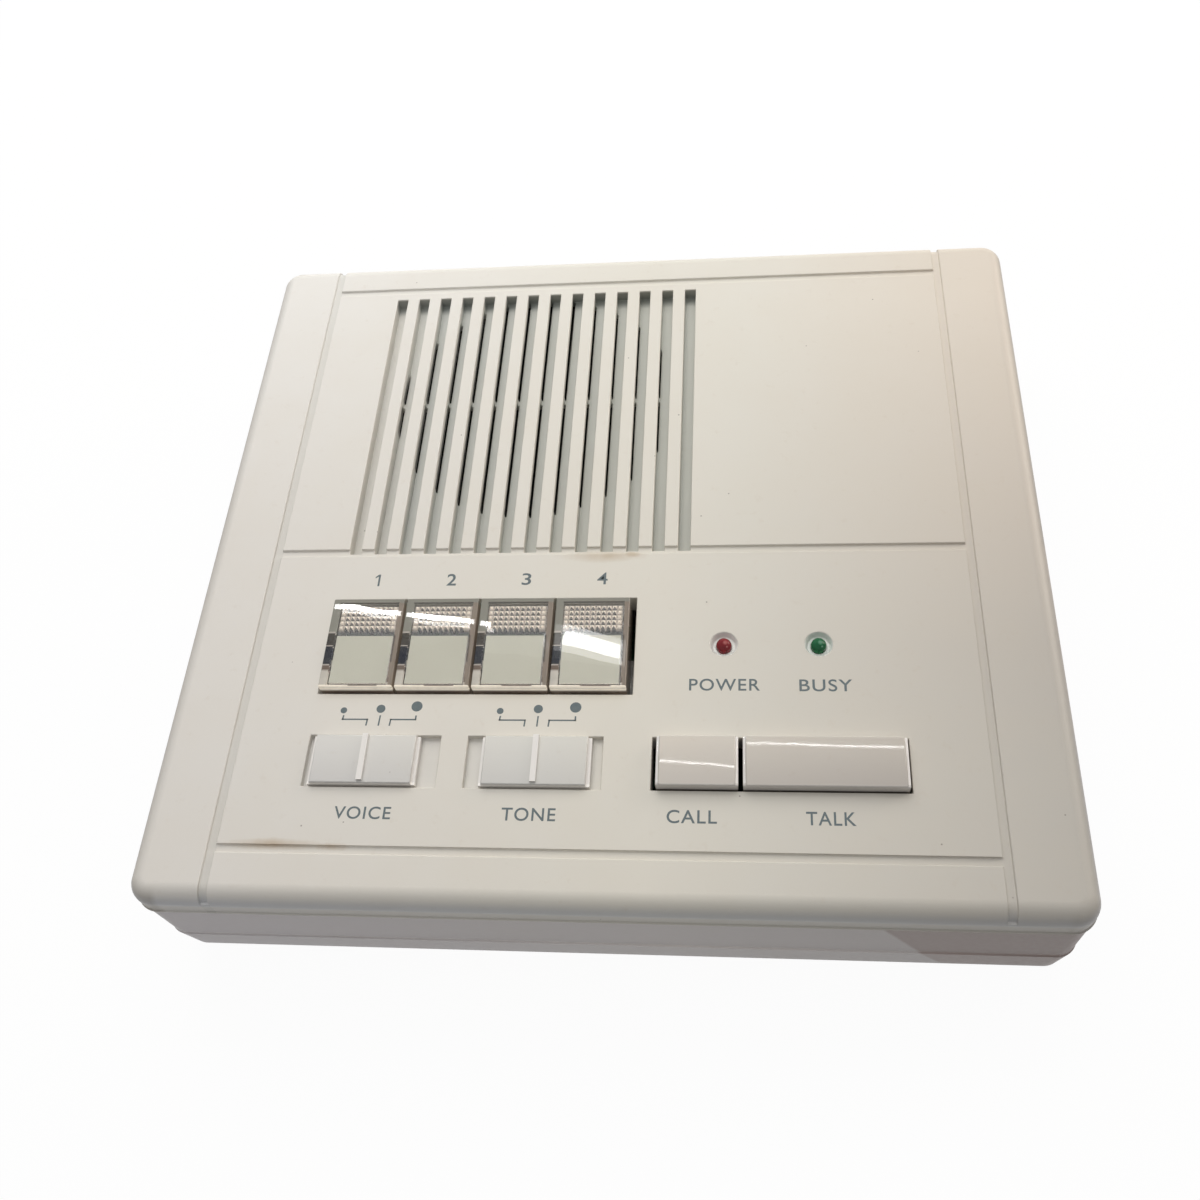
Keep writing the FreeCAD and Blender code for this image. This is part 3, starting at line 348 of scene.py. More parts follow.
slideKnob = {
    "colour": (0.70, 0.69, 0.665),
    "roughness": 0.38,
    "top": 37.7 * mm,
    "crest": 38.35 * mm,
    # painted light on the front face, and painted shade below the panel
    "front": (1.22, 1.22, 1.22),
    "gap": (0.80, 0.80, 0.80),
    "edge": 0.2 * mm,
    "angle": 34.0,
    "segments": 3,
    "clamp": True,
    "ribTop": 37.79 * mm,
    "ribFront": -62.1 * mm,
    "ribReach": 0.42 * mm,
}

wearAndLight = {
    "handled": (0.86, 0.86, 0.88),
    "handledSpan": (-53.5 * mm, -62.5 * mm),
    # painted light: the sides and the crest are painted paler
    "side": (0.80, 0.775, 0.74),
    "sideDepth": (0.15 * mm, 0.45 * mm),
    "crestDepth": 0.3 * mm,
    "frontDepth": (0.7 * mm, 0.45 * mm),
    # where the painted shadow of the gap begins
    "gapHeight": (36.45 * mm, 36.2 * mm),
}


def wornTopAndPaintedLight(nodeName, look):
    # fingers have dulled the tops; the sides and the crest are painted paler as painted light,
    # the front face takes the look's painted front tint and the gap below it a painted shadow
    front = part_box(nodeName)[0].y

    def worn(finish, tone):
        along, height = finish.axes()[1:]
        tone = finish.fade(finish.ramp(along, *wearAndLight["handledSpan"]), tone, wearAndLight["handled"])
        pale = finish.ramp(height, *(look["top"] - depth for depth in wearAndLight["sideDepth"]))
        if "crest" in look:
            pale = pale | finish.ramp(height, look["crest"] - wearAndLight["crestDepth"], look["crest"])
        tone = finish.blend(pale, tone, wearAndLight["side"])
        face = pale * finish.ramp(along, *(front + depth for depth in wearAndLight["frontDepth"]))
        tone = finish.fade(face, tone, look["front"])
        return finish.fade(finish.ramp(height, *wearAndLight["gapHeight"]), tone, look["gap"])
    return worn


def glossWave(finish):
    # slow moulding waves that bend what a glossy key mirrors
    across, along, _ = finish.axes()
    slope, rise = pressKey["tilt"]
    tilt = (across * slope + rise) * finish.ramp(across, *pressKey["tiltEnd"])
    slow = finish.noise(*pressKey["slowWave"]) * pressKey["slowHeight"]
    return finish.bump(slow - (along - pressKey["middle"]) * tilt, 1.0)


def mouldedPlastic(name, look, more=None, glossy=False):
    finish = Finish(name)
    # the case's painted light falloff, then mottle and dust, then the look's own painted zones
    tone = tintZones(finish, look["colour"], casePlastic["zones"])
    tone = finish.blend(finish.patches(*casePlastic["mottle"]), tone, casePlastic["aged"])
    tone = finish.blend(finish.patches(*casePlastic["dust"]), tone, casePlastic["stain"])
    tone = tintZones(finish, tone, look.get("zones", []))
    if more:
        tone = more(finish, tone)
    for spot, stretch, radius, amount in look.get("stains", []):
        edge = finish.noise(*casePlastic["stainEdge"]) * (radius * casePlastic["stainRagged"])
        ragged = finish.reach(spot, stretch) + edge
        core, rim = radius * casePlastic["stainCore"], radius * casePlastic["stainRim"]
        mask = 1 - finish.ramp(ragged, core, rim)
        tone = finish.blend(mask * amount, tone, casePlastic["stain"])
    cells = {"Vector": finish.place, "Scale": casePlastic["speckScale"]}
    specks = finish.ramp(finish.add("TexVoronoi", None, cells), *casePlastic["speckSize"])
    tone = finish.blend(specks * casePlastic["speckAmount"], tone, casePlastic["speck"])
    wave = glossWave(finish) if glossy else finish.bump(*casePlastic["wave"])
    skin = finish.bump(*casePlastic["glossGrain" if glossy else "grain"], under=wave)
    spread = look["roughness"] * casePlastic["sheenSpread"]
    sheen = look["roughness"] + (finish.noise(*casePlastic["sheen"]) - 0.5) * spread
    return finish.surface(finish.shader(tone, sheen, skin, {"IOR": casePlastic["ior"]}))


# clear caps and lamp windows, places in millimetres from a cap's left, front and top

capLow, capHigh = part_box("key_cap_1")
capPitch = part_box("key_cap_2")[0].x - capLow.x
stationCap = {
    "edge": 0.22 * mm,
    "angle": 40.0,
    "segments": 3,
    "clear": (0.985, 0.98, 0.97),
    "roughness": 0.004,
    # tones of the painted light and shade in the walls: line, pale and cream are painted highlights
    # and glow, brown, tan, umber, smoke and navy painted shade of what lies beneath
    "tones": {
        "pale": (0.66, 0.62, 0.55),
        "line": (0.50, 0.45, 0.40),
        "brown": (0.17, 0.125, 0.10),
        "navy": (0.012, 0.016, 0.030),
        "umber": (0.055, 0.048, 0.042),
        "smoke": (0.29, 0.285, 0.245),
        "tan": (0.29, 0.24, 0.195),
        "cream": (0.96, 0.87, 0.73),
    },
    "leftBands": [(0.0, "pale"), (3.7, "line"), (4.1, "brown"), (5.1, "line"), (5.45, "navy"),
                  (9.8, "line"), (10.1, "umber"), (13.1, "line"), (13.5, "smoke"), (21.4, "umber")],
    "rightBands": [(0.0, "pale"), (1.1, "brown"), (2.3, "tan"), (6.0, "umber"), (12.6, "tan"),
                   (21.4, "umber")],
    # down the front face: a painted shadow at its foot, then painted light bands up to the rim
    "frontBands": [(-9.0, "brown"), (-2.1, "tan"), (-1.75, "pale"), (-1.3, "cream"),
                   (-0.75, "pale"), (-0.4, "cream")],
    "leftWall": (1.75, 1.67),
    "rightWall": (15.02, 15.1),
    "outerWall": (15.1, 15.55),
    "halfWay": (8.0, 8.1),
    "slot": [(6.4, 6.8), (13.2, 12.8)],
    "slotStart": (0.24, 0.27),
    "frontRim": (0.48, 0.42),
    "backRim": (-1.3, -0.9),        # from the cap's back
    # painted light: the front rim glows in its own tones, from this height up
    "glowHeight": (-2.1, -1.6),
    "glow": 0.32,
    "veil": 0.86,
    "streaks": ((500.0, 3.0, 0.6), 0.3, 0.8, 0.25),
    "scuffs": ((700.0, 3.0, 0.7), 0.66, 0.9, 0.03),
    "wave": ((55.0, 1.0, 0.4), 0.00009, 0.6),
    "clearIor": 1.49,
    "veilIor": 1.3,
}


def capPlastic(name, cap):
    # A clear cap. Its edges pipe up what lies deep beside the plunger, so they are banded: painted
    # shade where that lies dark, painted light lines and a front rim that glows with painted light.
    finish = Finish(name)
    tones = cap["tones"]
    x, y, z = finish.axes()
    column = (x - capLow.x) % capPitch * (1 / mm)
    depth = (y - capLow.y) * (1 / mm)
    rise = (z - capHigh.z) * (1 / mm)
    length = (capHigh.y - capLow.y) / mm
    left, right, front = [[(start, tones[tone]) for start, tone in cap[side + "Bands"]]
                          for side in ("left", "right", "front")]
    rightTone = finish.bands(depth, 0, length, right)
    rightTone = finish.blend(finish.ramp(column, *cap["outerWall"]), rightTone, tones["tan"])
    leftTone = finish.bands(depth, 0, length, left)
    sideTone = finish.blend(finish.ramp(column, *cap["halfWay"]), leftTone, rightTone)
    start, end = [finish.ramp(column, *span) for span in cap["slot"]]
    slot = start * end * finish.ramp(depth, *cap["slotStart"])
    frontTone = finish.bands(rise, front[0][0], 0, front)
    frontTone = finish.blend(slot, frontTone, tones["brown"])
    sides = finish.ramp(column, *cap["leftWall"]) | finish.ramp(column, *cap["rightWall"])
    frontRim = finish.ramp(depth, *cap["frontRim"])
    backRim = finish.ramp(depth - length, *cap["backRim"])
    veil = (sides | frontRim | backRim) * cap["veil"]
    rimTone = finish.blend(frontRim, sideTone, frontTone)
    rimTone = finish.blend(backRim, rimTone, tones["smoke"])
    rimTone = finish.blend(finish.patches(*cap["streaks"]), rimTone, tones["smoke"])
    # painted light: the front rim glows in its own tones
    glow = finish.blend(frontRim * finish.ramp(rise, *cap["glowHeight"]), (0, 0, 0), rimTone)
    wave = finish.bump(*cap["wave"])
    scuff = cap["roughness"] + finish.patches(*cap["scuffs"])
    clearSockets = {"IOR": cap["clearIor"], "Transmission Weight": 1.0}
    veilSockets = {"IOR": cap["veilIor"], "Emission Color": glow, "Emission Strength": cap["glow"]}
    clear = finish.shader(cap["clear"], scuff, wave, clearSockets)
    dull = finish.shader(rimTone, scuff, wave, veilSockets)
    body = finish.add("MixShader", None, {0: veil, 1: clear, 2: dull})
    return finish.seeThrough(body, cap["clear"])


clearLamp = {
    "tint": (0.9, 0.9, 0.88),
    "roughness": 0.05,
    "scuffs": ((700.0, 3.0, 0.7), 0.60, 0.85, 0.10),
    "wave": ((70.0, 1.0, 0.5), 0.00005, 0.5),
    "ior": 1.49,
}


def clearPlastic(name, lamp):
    finish = Finish(name)
    scuff = lamp["roughness"] + finish.patches(*lamp["scuffs"])
    sockets = {"IOR": lamp["ior"], "Transmission Weight": 1.0}
    body = finish.shader(lamp["tint"], scuff, finish.bump(*lamp["wave"]), sockets)
    return finish.seeThrough(body, lamp["tint"])


lampWindow = {
    "pitch": 1.18 * mm,
    "pyramid": 0.8 * mm,
    "sunk": 0.04 * mm,
    # painted light and shade of the pyramids: lit faces, darker feet and dark spots on the sides
    # that face the user
    "lit": (0.92, 0.83, 0.72),
    "litFoot": (0.22, 0.18, 0.14),
    "litFootAmount": 0.85,
    "spot": (0.085, 0.075, 0.060),
    "spotFoot": (0.003, 0.004, 0.003),
    "spotLeast": 0.15,
    "facing": (-0.3, -0.5),
    "footDepth": (0.2 * mm, 0.75 * mm),
    "middle": (5.4 * mm, 5.2 * mm),
    "centred": (0.40, 0.28),        # parts of a pyramid's width
    "dust": ((900.0, 2.0, 0.5), 0.4, 0.7, 0.12),
    "dustTone": (0.45, 0.39, 0.32),
    "roughness": 0.25,
    "skin": ((1500.0, 2.0, 0.5), 0.00001, 0.4),
    "ior": 1.2,
}


def evenSteps(low, high):
    count = round((high - low) / lampWindow["pitch"])
    return count, (high - low) / count


def prismPlastic(name, window):
    # painted shade: the sides that face the user are painted dark, most of all at their feet,
    # and the feet of every side are painted darker
    finish = Finish(name)
    low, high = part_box("key_lens_1")
    x, _, z = finish.axes()
    facing = finish.axes(finish.add("NewGeometry", out="Normal"))[1]
    width = evenSteps(low.x, high.x)[1]
    middle = abs((x - capLow.x) % capPitch - ((low.x + high.x) / 2 - capLow.x))
    offset = abs((x - low.x) % capPitch % width - width / 2)
    start, end = [width * part for part in window["centred"]]
    centred = finish.ramp(offset, start, end, window["spotLeast"])
    foot = finish.ramp(z, *(high.z - depth for depth in window["footDepth"]))
    tone = finish.blend(foot * window["litFootAmount"], window["lit"], window["litFoot"])
    spots = finish.ramp(facing, *window["facing"]) * finish.ramp(middle, *window["middle"])
    dark = finish.blend(foot, window["spot"], window["spotFoot"])
    tone = finish.blend(spots * centred, tone, dark)
    tone = finish.blend(finish.patches(*window["dust"]), tone, window["dustTone"])
    skin = finish.bump(*window["skin"])
    return finish.surface(finish.shader(tone, window["roughness"], skin, {"IOR": window["ior"]}))


# lamps and their resin

lampDome = {
    "raise": 1.0 * mm,
    "reach": 1.65 * mm,
    "widen": 1.10,
    "edge": 0.04 * mm,
    "angle": 60.0,
    "clamp": True,
    "heart": 0.5 * mm,              # below the dome's top
    # each painted glint's place from the heart in millimetres, its radius and how much it shows
    "paintedGlints": [((0.34, -0.03, 1.55), 0.65 * mm, 0.5), ((0.68, -0.88, 1.15), 0.28 * mm, 0.7)],
    "paintedGlintCore": 0.4,
    "cloud": ((1500.0, 2.0, 0.5), 0.3, 0.7, 0.5),
    "skin": ((2200.0, 1.0, 0.5), 0.00001, 0.3),
    "roughness": 0.10,
    "ior": 1.32,
}


def lampResin(name, nodeName, colour, deep, paintedGlint):
    # painted highlights: two soft glints are painted on the clear dome
    finish = Finish(name)
    low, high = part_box(nodeName)
    tone = finish.blend(finish.patches(*lampDome["cloud"]), colour, deep)
    heart = Vector(((low.x + high.x) / 2, (low.y + high.y) / 2, high.z - lampDome["heart"]))
    for offset, radius, amount in lampDome["paintedGlints"]:
        away = finish.reach(heart + Vector(offset) * mm)
        spot = finish.ramp(away, radius, radius * lampDome["paintedGlintCore"])
        tone = finish.blend(spot * amount, tone, paintedGlint)
    skin = finish.bump(*lampDome["skin"])
    sockets = {"IOR": lampDome["ior"]}
    return finish.surface(finish.shader(tone, lampDome["roughness"], skin, sockets))


# paper, metal, dark plastic and circuit boards

paperLook = {
    "fibre": (1800.0, 5.0, 0.7),
    "fibrePatches": (0.45, 0.7, 0.2),
    "cloud": ((90.0, 3.0, 0.6), 0.3, 0.7, 0.35),
    "bump": (0.00002, 0.5),
    "roughness": 0.75,
}


def paper(name, colour, deep):
    finish = Finish(name)
    fibre = finish.noise(*paperLook["fibre"])
    worn = finish.patches(*paperLook["cloud"]) + finish.patches(fibre, *paperLook["fibrePatches"])
    tone = finish.blend(worn, colour, deep)
    skin = finish.bump(fibre, *paperLook["bump"])
    return finish.surface(finish.shader(tone, paperLook["roughness"], skin))


metalLook = {
    "scale": 600.0,
    "detail": (4.0, 0.6),
    "patches": (0.4, 0.7, 0.4),
    "shade": 0.7,
    "spread": 0.3,
    "bump": (0.00001, 0.4),
}


def metal(name, colour, roughness, scale=metalLook["scale"]):
    finish = Finish(name)
    brushed = finish.noise(scale, *metalLook["detail"])
    shaded = tuple(part * metalLook["shade"] for part in colour)
    tone = finish.blend(finish.patches(brushed, *metalLook["patches"]), colour, shaded)
    dulled = roughness + (brushed - 0.5) * metalLook["spread"]
    skin = finish.bump(brushed, *metalLook["bump"])
    return finish.surface(finish.shader(tone, dulled, skin, {"Metallic": 1.0}))


darkLook = {
    "fine": (1600.0, 3.0, 0.6),
    "dust": ((260.0, 4.0, 0.7), 0.5, 0.8, 0.12),
    "dustTone": (0.35, 0.33, 0.30),
    "spread": 0.2,
    "bump": (0.00002, 0.4),
}


def darkPlastic(name, colour, roughness):
    finish = Finish(name)
    fine = finish.noise(*darkLook["fine"])
    tone = finish.blend(finish.patches(*darkLook["dust"]), colour, darkLook["dustTone"])
    sheen = roughness + (fine - 0.5) * darkLook["spread"]
    return finish.surface(finish.shader(tone, sheen, finish.bump(fine, *darkLook["bump"])))


board = {
    # dark green lacquer, darkened further as painted shade for what is seen through the gaps beside
    # the caps
    "shadedLacquer": (0.012, 0.04, 0.02),
    "copper": (0.03, 0.08, 0.035),
    "tracks": {"Scale": 190.0, "Mortar Size": 0.03, "Color1": (1, 1, 1, 1),
               "Color2": (0.8, 0.8, 0.8, 1), "Mortar": (0, 0, 0, 1)},
    "weave": (900.0, 3.0, 0.6),
    "roughness": 0.34,
    "spread": 0.2,
    "bump": (0.00002, 0.3),
}


def circuitBoard(name):
    finish = Finish(name)
    tracks = finish.add("TexBrick", None, {"Vector": finish.place, **board["tracks"]})
    tone = finish.blend(tracks, board["copper"], board["shadedLacquer"])
    weave = finish.noise(*board["weave"])
    sheen = board["roughness"] + (weave - 0.5) * board["spread"]
    return finish.surface(finish.shader(tone, sheen, finish.bump(weave, *board["bump"])))


# one finish for every slot of the record

holder = {"colour": (0.50, 0.47, 0.44), "roughness": 0.4}
keyWearAndLight = wornTopAndPaintedLight("call_button", pressKey)
knobWearAndLight = wornTopAndPaintedLight("voice_knob", slideKnob)
finishes = {
    "cover_plastic": mouldedPlastic("cover_satin", cover, paintedDishLight),
    "base_plastic": mouldedPlastic("base_satin", base),
    "key_plastic": mouldedPlastic("key_gloss", pressKey, keyWearAndLight, glossy=True),
    "knob_plastic": mouldedPlastic("knob_satin", slideKnob, knobWearAndLight),
    "clear_acrylic": capPlastic("cap_clear", stationCap),
    "lens_acrylic": prismPlastic("lens_prisms", lampWindow),
    "slip_paper": paper("slip_paper", (0.85, 0.855, 0.79), (0.80, 0.80, 0.735)),
    "holder_plastic": mouldedPlastic("holder_satin", holder),
    "switch_plastic": darkPlastic("switch_navy", (0.018, 0.022, 0.035), 0.35),
    "slide_can": metal("slide_tin", (0.62, 0.61, 0.58), 0.38),
    "frame_steel": metal("frame_zinc", (0.30, 0.29, 0.27), 0.45),
    # the last colour of each lamp is its painted glint
    "red_lamp": lampResin("lamp_red", "power_led", (0.22, 0.008, 0.014), (0.12, 0.006, 0.010),
                          (0.55, 0.20, 0.18)),
    "green_lamp": lampResin("lamp_green", "busy_led", (0.001, 0.12, 0.036), (0.001, 0.06, 0.020),
                            (0.20, 0.40, 0.28)),
    "clear_lamp": clearPlastic("lamp_clear", clearLamp),
    "circuit_board": circuitBoard("board_green"),
    "screw_steel": metal("screw_zinc", (0.58, 0.57, 0.54), 0.3),
    "basket_steel": metal("basket_zinc", (0.45, 0.44, 0.42), 0.42),
    "magnet_ferrite": darkPlastic("magnet_ferrite", (0.05, 0.048, 0.046), 0.6),
    "cone_paper": paper("cone_pulp", (0.032, 0.030, 0.028), (0.016, 0.015, 0.014)),
    "cap_cloth": paper("cap_cloth", (0.045, 0.042, 0.040), (0.02, 0.019, 0.018)),
    "gasket_card": paper("gasket_card", (0.16, 0.13, 0.10), (0.11, 0.09, 0.07)),
    "foot_rubber": darkPlastic("foot_rubber", (0.035, 0.034, 0.033), 0.75),
    "core_steel": metal("core_laminate", (0.33, 0.31, 0.29), 0.5, 1500.0),
    "can_sleeve": darkPlastic("can_sleeve", (0.02, 0.03, 0.07), 0.3),
    "chip_resin": darkPlastic("chip_resin", (0.02, 0.02, 0.021), 0.55),
    "socket_plastic": darkPlastic("socket_black", (0.015, 0.015, 0.016), 0.35),
    "terminal_plastic": darkPlastic("terminal_black", (0.022, 0.021, 0.020), 0.4),
    "ribbon_plastic": darkPlastic("ribbon_grey", (0.33, 0.32, 0.32), 0.5),
}
for nodeName, node in nodes.items():
    node.data.materials.clear()
    node.data.materials.append(finishes[slotOf[nodeName]])
print("finishes made:", len(finishes))


# pieces that stand for a node

def linked(name, data):
    thing = bpy.data.objects.new(name, data)
    scene.collection.objects.link(thing)
    return thing


def dressed(name, mesh, finish):
    mesh.materials.clear()
    mesh.materials.append(finish)
    return linked(name, mesh)


def meshFrom(work, name, smooth=False):
    mesh = bpy.data.meshes.new(name)
    work.to_mesh(mesh)
    work.free()
    if smooth:
        mesh.shade_smooth()
    return mesh


def addPiece(name, mesh, stoodFor):
    piece = dressed(name, mesh, finishes[slotOf[stoodFor]])
    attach(piece, bodyOf[stoodFor])
    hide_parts(stoodFor)
    return piece


softEdge = {"merge": 0.002 * mm, "near": 0.02 * mm, "flat": 0.5, "segments": 2, "weight": 60}


def cleanCopy(nodeName):
    # the node's shape with flat faces joined again
    work = bmesh.new()
    work.from_mesh(nodes[nodeName].data)
    bmesh.ops.remove_doubles(work, verts=work.verts, dist=softEdge["merge"])
    flat = math.radians(softEdge["flat"])
    bmesh.ops.dissolve_limit(work, angle_limit=flat, verts=work.verts, edges=work.edges)
    return work


def softened(nodeName, name, look, change=None):
    # the node's shape, changed a little and with small rounded edges
    work = cleanCopy(nodeName)
    if change:
        change(work, *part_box(nodeName))
    piece = addPiece(name, meshFrom(work, name, smooth=True), nodeName)
    bevel = piece.modifiers.new("soft_edges", "BEVEL")
    bevel.width = look["edge"]
    bevel.segments = look.get("segments", softEdge["segments"])
    bevel.limit_method = "ANGLE"
    bevel.angle_limit = math.radians(look["angle"])
    bevel.use_clamp_overlap = look.get("clamp", False)
    bevel.harden_normals = True
    even = piece.modifiers.new("even_normals", "WEIGHTED_NORMAL")
    even.keep_sharp = True
    even.weight = softEdge["weight"]


def walls(work, top, bottom):
    # a band of faces between two rings of points
    for corners in zip(top, bottom, bottom[1:] + bottom[:1], top[1:] + top[:1]):
        work.faces.new(corners)


def slab(work, *rings):
    # a closed flat solid from its top and bottom rings
    top, bottom = [[work.verts.new(spot) for spot in ring] for ring in rings]
    work.faces.new(top)
    work.faces.new(bottom[::-1])
    walls(work, top, bottom)


# case

coverShape = {
    "edge": 0.22 * mm,
    "angle": 50.0,
    "grooveFloor": 35.4 * mm,
    "grooveLift": 0.5 * mm,
    "dishReach": 2.6 * mm,
    "dishFloor": 34.5 * mm,
    "dishLift": 0.7 * mm,
    "railGrooves": (77.4 * mm, 79.4 * mm),
    "rollStart": 84.2 * mm,
    "rollMiddle": 32.5 * mm,
    "rollReach": 3.0 * mm,
    "rollTop": 33.4 * mm,
}
baseShape = {"edge": 0.25 * mm, "angle": 50.0}


def liftGrooves(work, low, high):
    # the grooves and the lamps' dishes read shallower than the frame's
    near, lift = softEdge["near"], coverShape["grooveLift"]
    railStart, railEnd = coverShape["railGrooves"]
    for vert in work.verts:
        beside = min((vert.co - lamp).xy.length for lamp in lampSpots)
        onDish = abs(vert.co.z - coverShape["dishFloor"]) < near
        if beside < coverShape["dishReach"] and onDish:
            vert.co.z += coverShape["dishLift"]
        across, along, height = abs(vert.co.x), abs(vert.co.y), vert.co.z
        reach = Vector((along - coverShape["rollStart"], height - coverShape["rollMiddle"]))
        onRoll = reach.x > 0 and reach.length < coverShape["rollReach"]
        if across < railEnd and abs(height - coverShape["grooveFloor"]) < near:
            vert.co.z += lift
        elif railStart < across < railEnd and onRoll:
            push = reach.normalized() * lift
            vert.co.y += math.copysign(push.x, vert.co.y)
            vert.co.z += push.y if height > coverShape["rollTop"] else 0


softened("top_cover", "cover_moulding", coverShape, liftGrooves)
softened("base_shell", "base_moulding", baseShape)
print("case made")


# station keys

def pyramidLens(name, nodeName):
    low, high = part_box(nodeName)
    high.z -= lampWindow["sunk"]
    columns, stepX = evenSteps(low.x, high.x)
    rows, stepY = evenSteps(low.y, high.y)
    valley = high.z - lampWindow["pyramid"]
    work = bmesh.new()
    grid = [[work.verts.new((low.x + i * stepX, low.y + j * stepY, valley))
             for i in range(columns + 1)] for j in range(rows + 1)]
    for j in range(rows):
        for i in range(columns):
            ring = [grid[j][i], grid[j][i + 1], grid[j + 1][i + 1], grid[j + 1][i]]
            tip = work.verts.new((low.x + (i + 0.5) * stepX, low.y + (j + 0.5) * stepY, high.z))
            for a, b in zip(ring, ring[1:] + ring[:1]):
                work.faces.new((a, b, tip))
    rim = [grid[0][i] for i in range(columns)] + [grid[j][columns] for j in range(rows)]
    rim += [grid[rows][i] for i in range(columns, 0, -1)] + [grid[j][0] for j in range(rows, 0, -1)]
    floor = [work.verts.new((vert.co.x, vert.co.y, low.z)) for vert in rim]
    walls(work, rim, floor)
    work.faces.new(floor[::-1])
    addPiece(name, meshFrom(work, name), nodeName)


for number in (1, 2, 3, 4):
    softened(f"key_cap_{number}", f"station_cap_{number}", stationCap)
    pyramidLens(f"station_lens_{number}", f"key_lens_{number}")
print("station keys made")


# call and talk keys, and the slides

def crownTop(work, low, high):
    middle = (low.y + high.y) / 2
    half = (high.y - low.y) / 2
    for i in range(1, pressKey["cuts"]):
        spot = Vector((0, low.y + (high.y - low.y) * i / pressKey["cuts"], 0))
        everything = work.verts[:] + work.edges[:] + work.faces[:]
        bmesh.ops.bisect_plane(work, geom=everything, plane_co=spot, plane_no=(0, 1, 0),
                               dist=pressKey["cutNear"])
    for vert in work.verts:
        if vert.co.z > high.z - pressKey["crownDepth"]:
            vert.co.z -= pressKey["crown"] * ((vert.co.y - middle) / half) ** 2


def lengthenRib(work, low, high):
    for vert in work.verts:
        onFront = abs(vert.co.y - slideKnob["ribFront"]) < softEdge["near"]
        if vert.co.z > slideKnob["ribTop"] and onFront:
            vert.co.y -= slideKnob["ribReach"]


softened("call_button", "call_key_top", pressKey, crownTop)
softened("talk_button", "talk_key_top", pressKey, crownTop)
softened("voice_knob", "voice_slide_knob", slideKnob, lengthenRib)
softened("tone_knob", "tone_slide_knob", slideKnob, lengthenRib)
print("press keys and slides made")


# lamps

def raiseDome(work, low, high):
    # the dome stands a little proud of the panel
    dome = [vert for vert in work.verts if vert.co.z > high.z - lampDome["reach"]]
    middle = sum((Vector((vert.co.x, vert.co.y, 0)) for vert in dome), Vector()) / len(dome)
    for vert in dome:
        vert.co.x = middle.x + (vert.co.x - middle.x) * lampDome["widen"]
        vert.co.y = middle.y + (vert.co.y - middle.y) * lampDome["widen"]
        vert.co.z += lampDome["raise"]


softened("power_led", "power_lamp_dome", lampDome, raiseDome)
softened("busy_led", "busy_lamp_dome", lampDome, raiseDome)
print("lamps made")


# screw drives

drive = {
    "width": 0.55 * mm,
    "span": 0.72,                   # half its length, as a part of the head's radius
    "proud": 0.01 * mm,
    "sunk": 0.02 * mm,
    "spin": 37,                     # degrees from one screw to the next
    "colour": (0.03, 0.028, 0.026),
    "roughness": 0.6,
}
driveShade = darkPlastic("drive_shadow", drive["colour"], drive["roughness"])


def looseBoxes(nodeName):
    # the box of every separate solid in a node, sorted so that each run gives the same order
    work = cleanCopy(nodeName)
    left = set(work.verts)
    boxes = []
    while left:
        found, fresh = set(), {left.pop()}
        while fresh:
            vert = fresh.pop()
            found.add(vert)
            fresh |= {edge.other_vert(vert) for edge in vert.link_edges} - found
        left -= found
        spots = [vert.co.copy() for vert in found]
        boxes.append([Vector([pick(spot[axis] for spot in spots) for axis in range(3)])
                      for pick in (min, max)])
    work.free()
    return sorted(boxes, key=lambda box: tuple(box[0]))


def driveMarks(name, nodeName, outward, turns):
    # flat dark marks, painted shade of the slots in the screw heads; outward is the way the heads
    # face
    work = bmesh.new()
    facing = Vector(outward)
    flatWays = [axis for axis in range(3) if not facing[axis]]
    corners = ((-1, -1), (1, -1), (1, 1), (-1, 1))
    for number, (low, high) in enumerate(looseBoxes(nodeName)):
        reach = (high - low) / 2
        radius = max(reach[axis] for axis in flatWays)
        face = (low + high) / 2 + facing * reach
        for turn in turns:
            spin = Matrix.Rotation(math.radians(turn + drive["spin"] * number), 4, facing)
            side = spin @ Vector((1, 0, 0))
            long, short = side * radius * drive["span"], facing.cross(side) * drive["width"] / 2
            slab(work, *[[face + facing * rise + a * long + b * short for a, b in corners]
                         for rise in (drive["proud"], -drive["sunk"])])
    bmesh.ops.recalc_face_normals(work, faces=work.faces)
    piece = dressed(name, meshFrom(work, name), driveShade)
    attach(piece, bodyOf[nodeName])


driveMarks("terminal_drives", "terminal_screws", (0, 1, 0), (0,))
driveMarks("case_drives", "case_screws", (0, 0, -1), (0, 90))
print("screw drives made")


# lettering, in millimetres on the panel

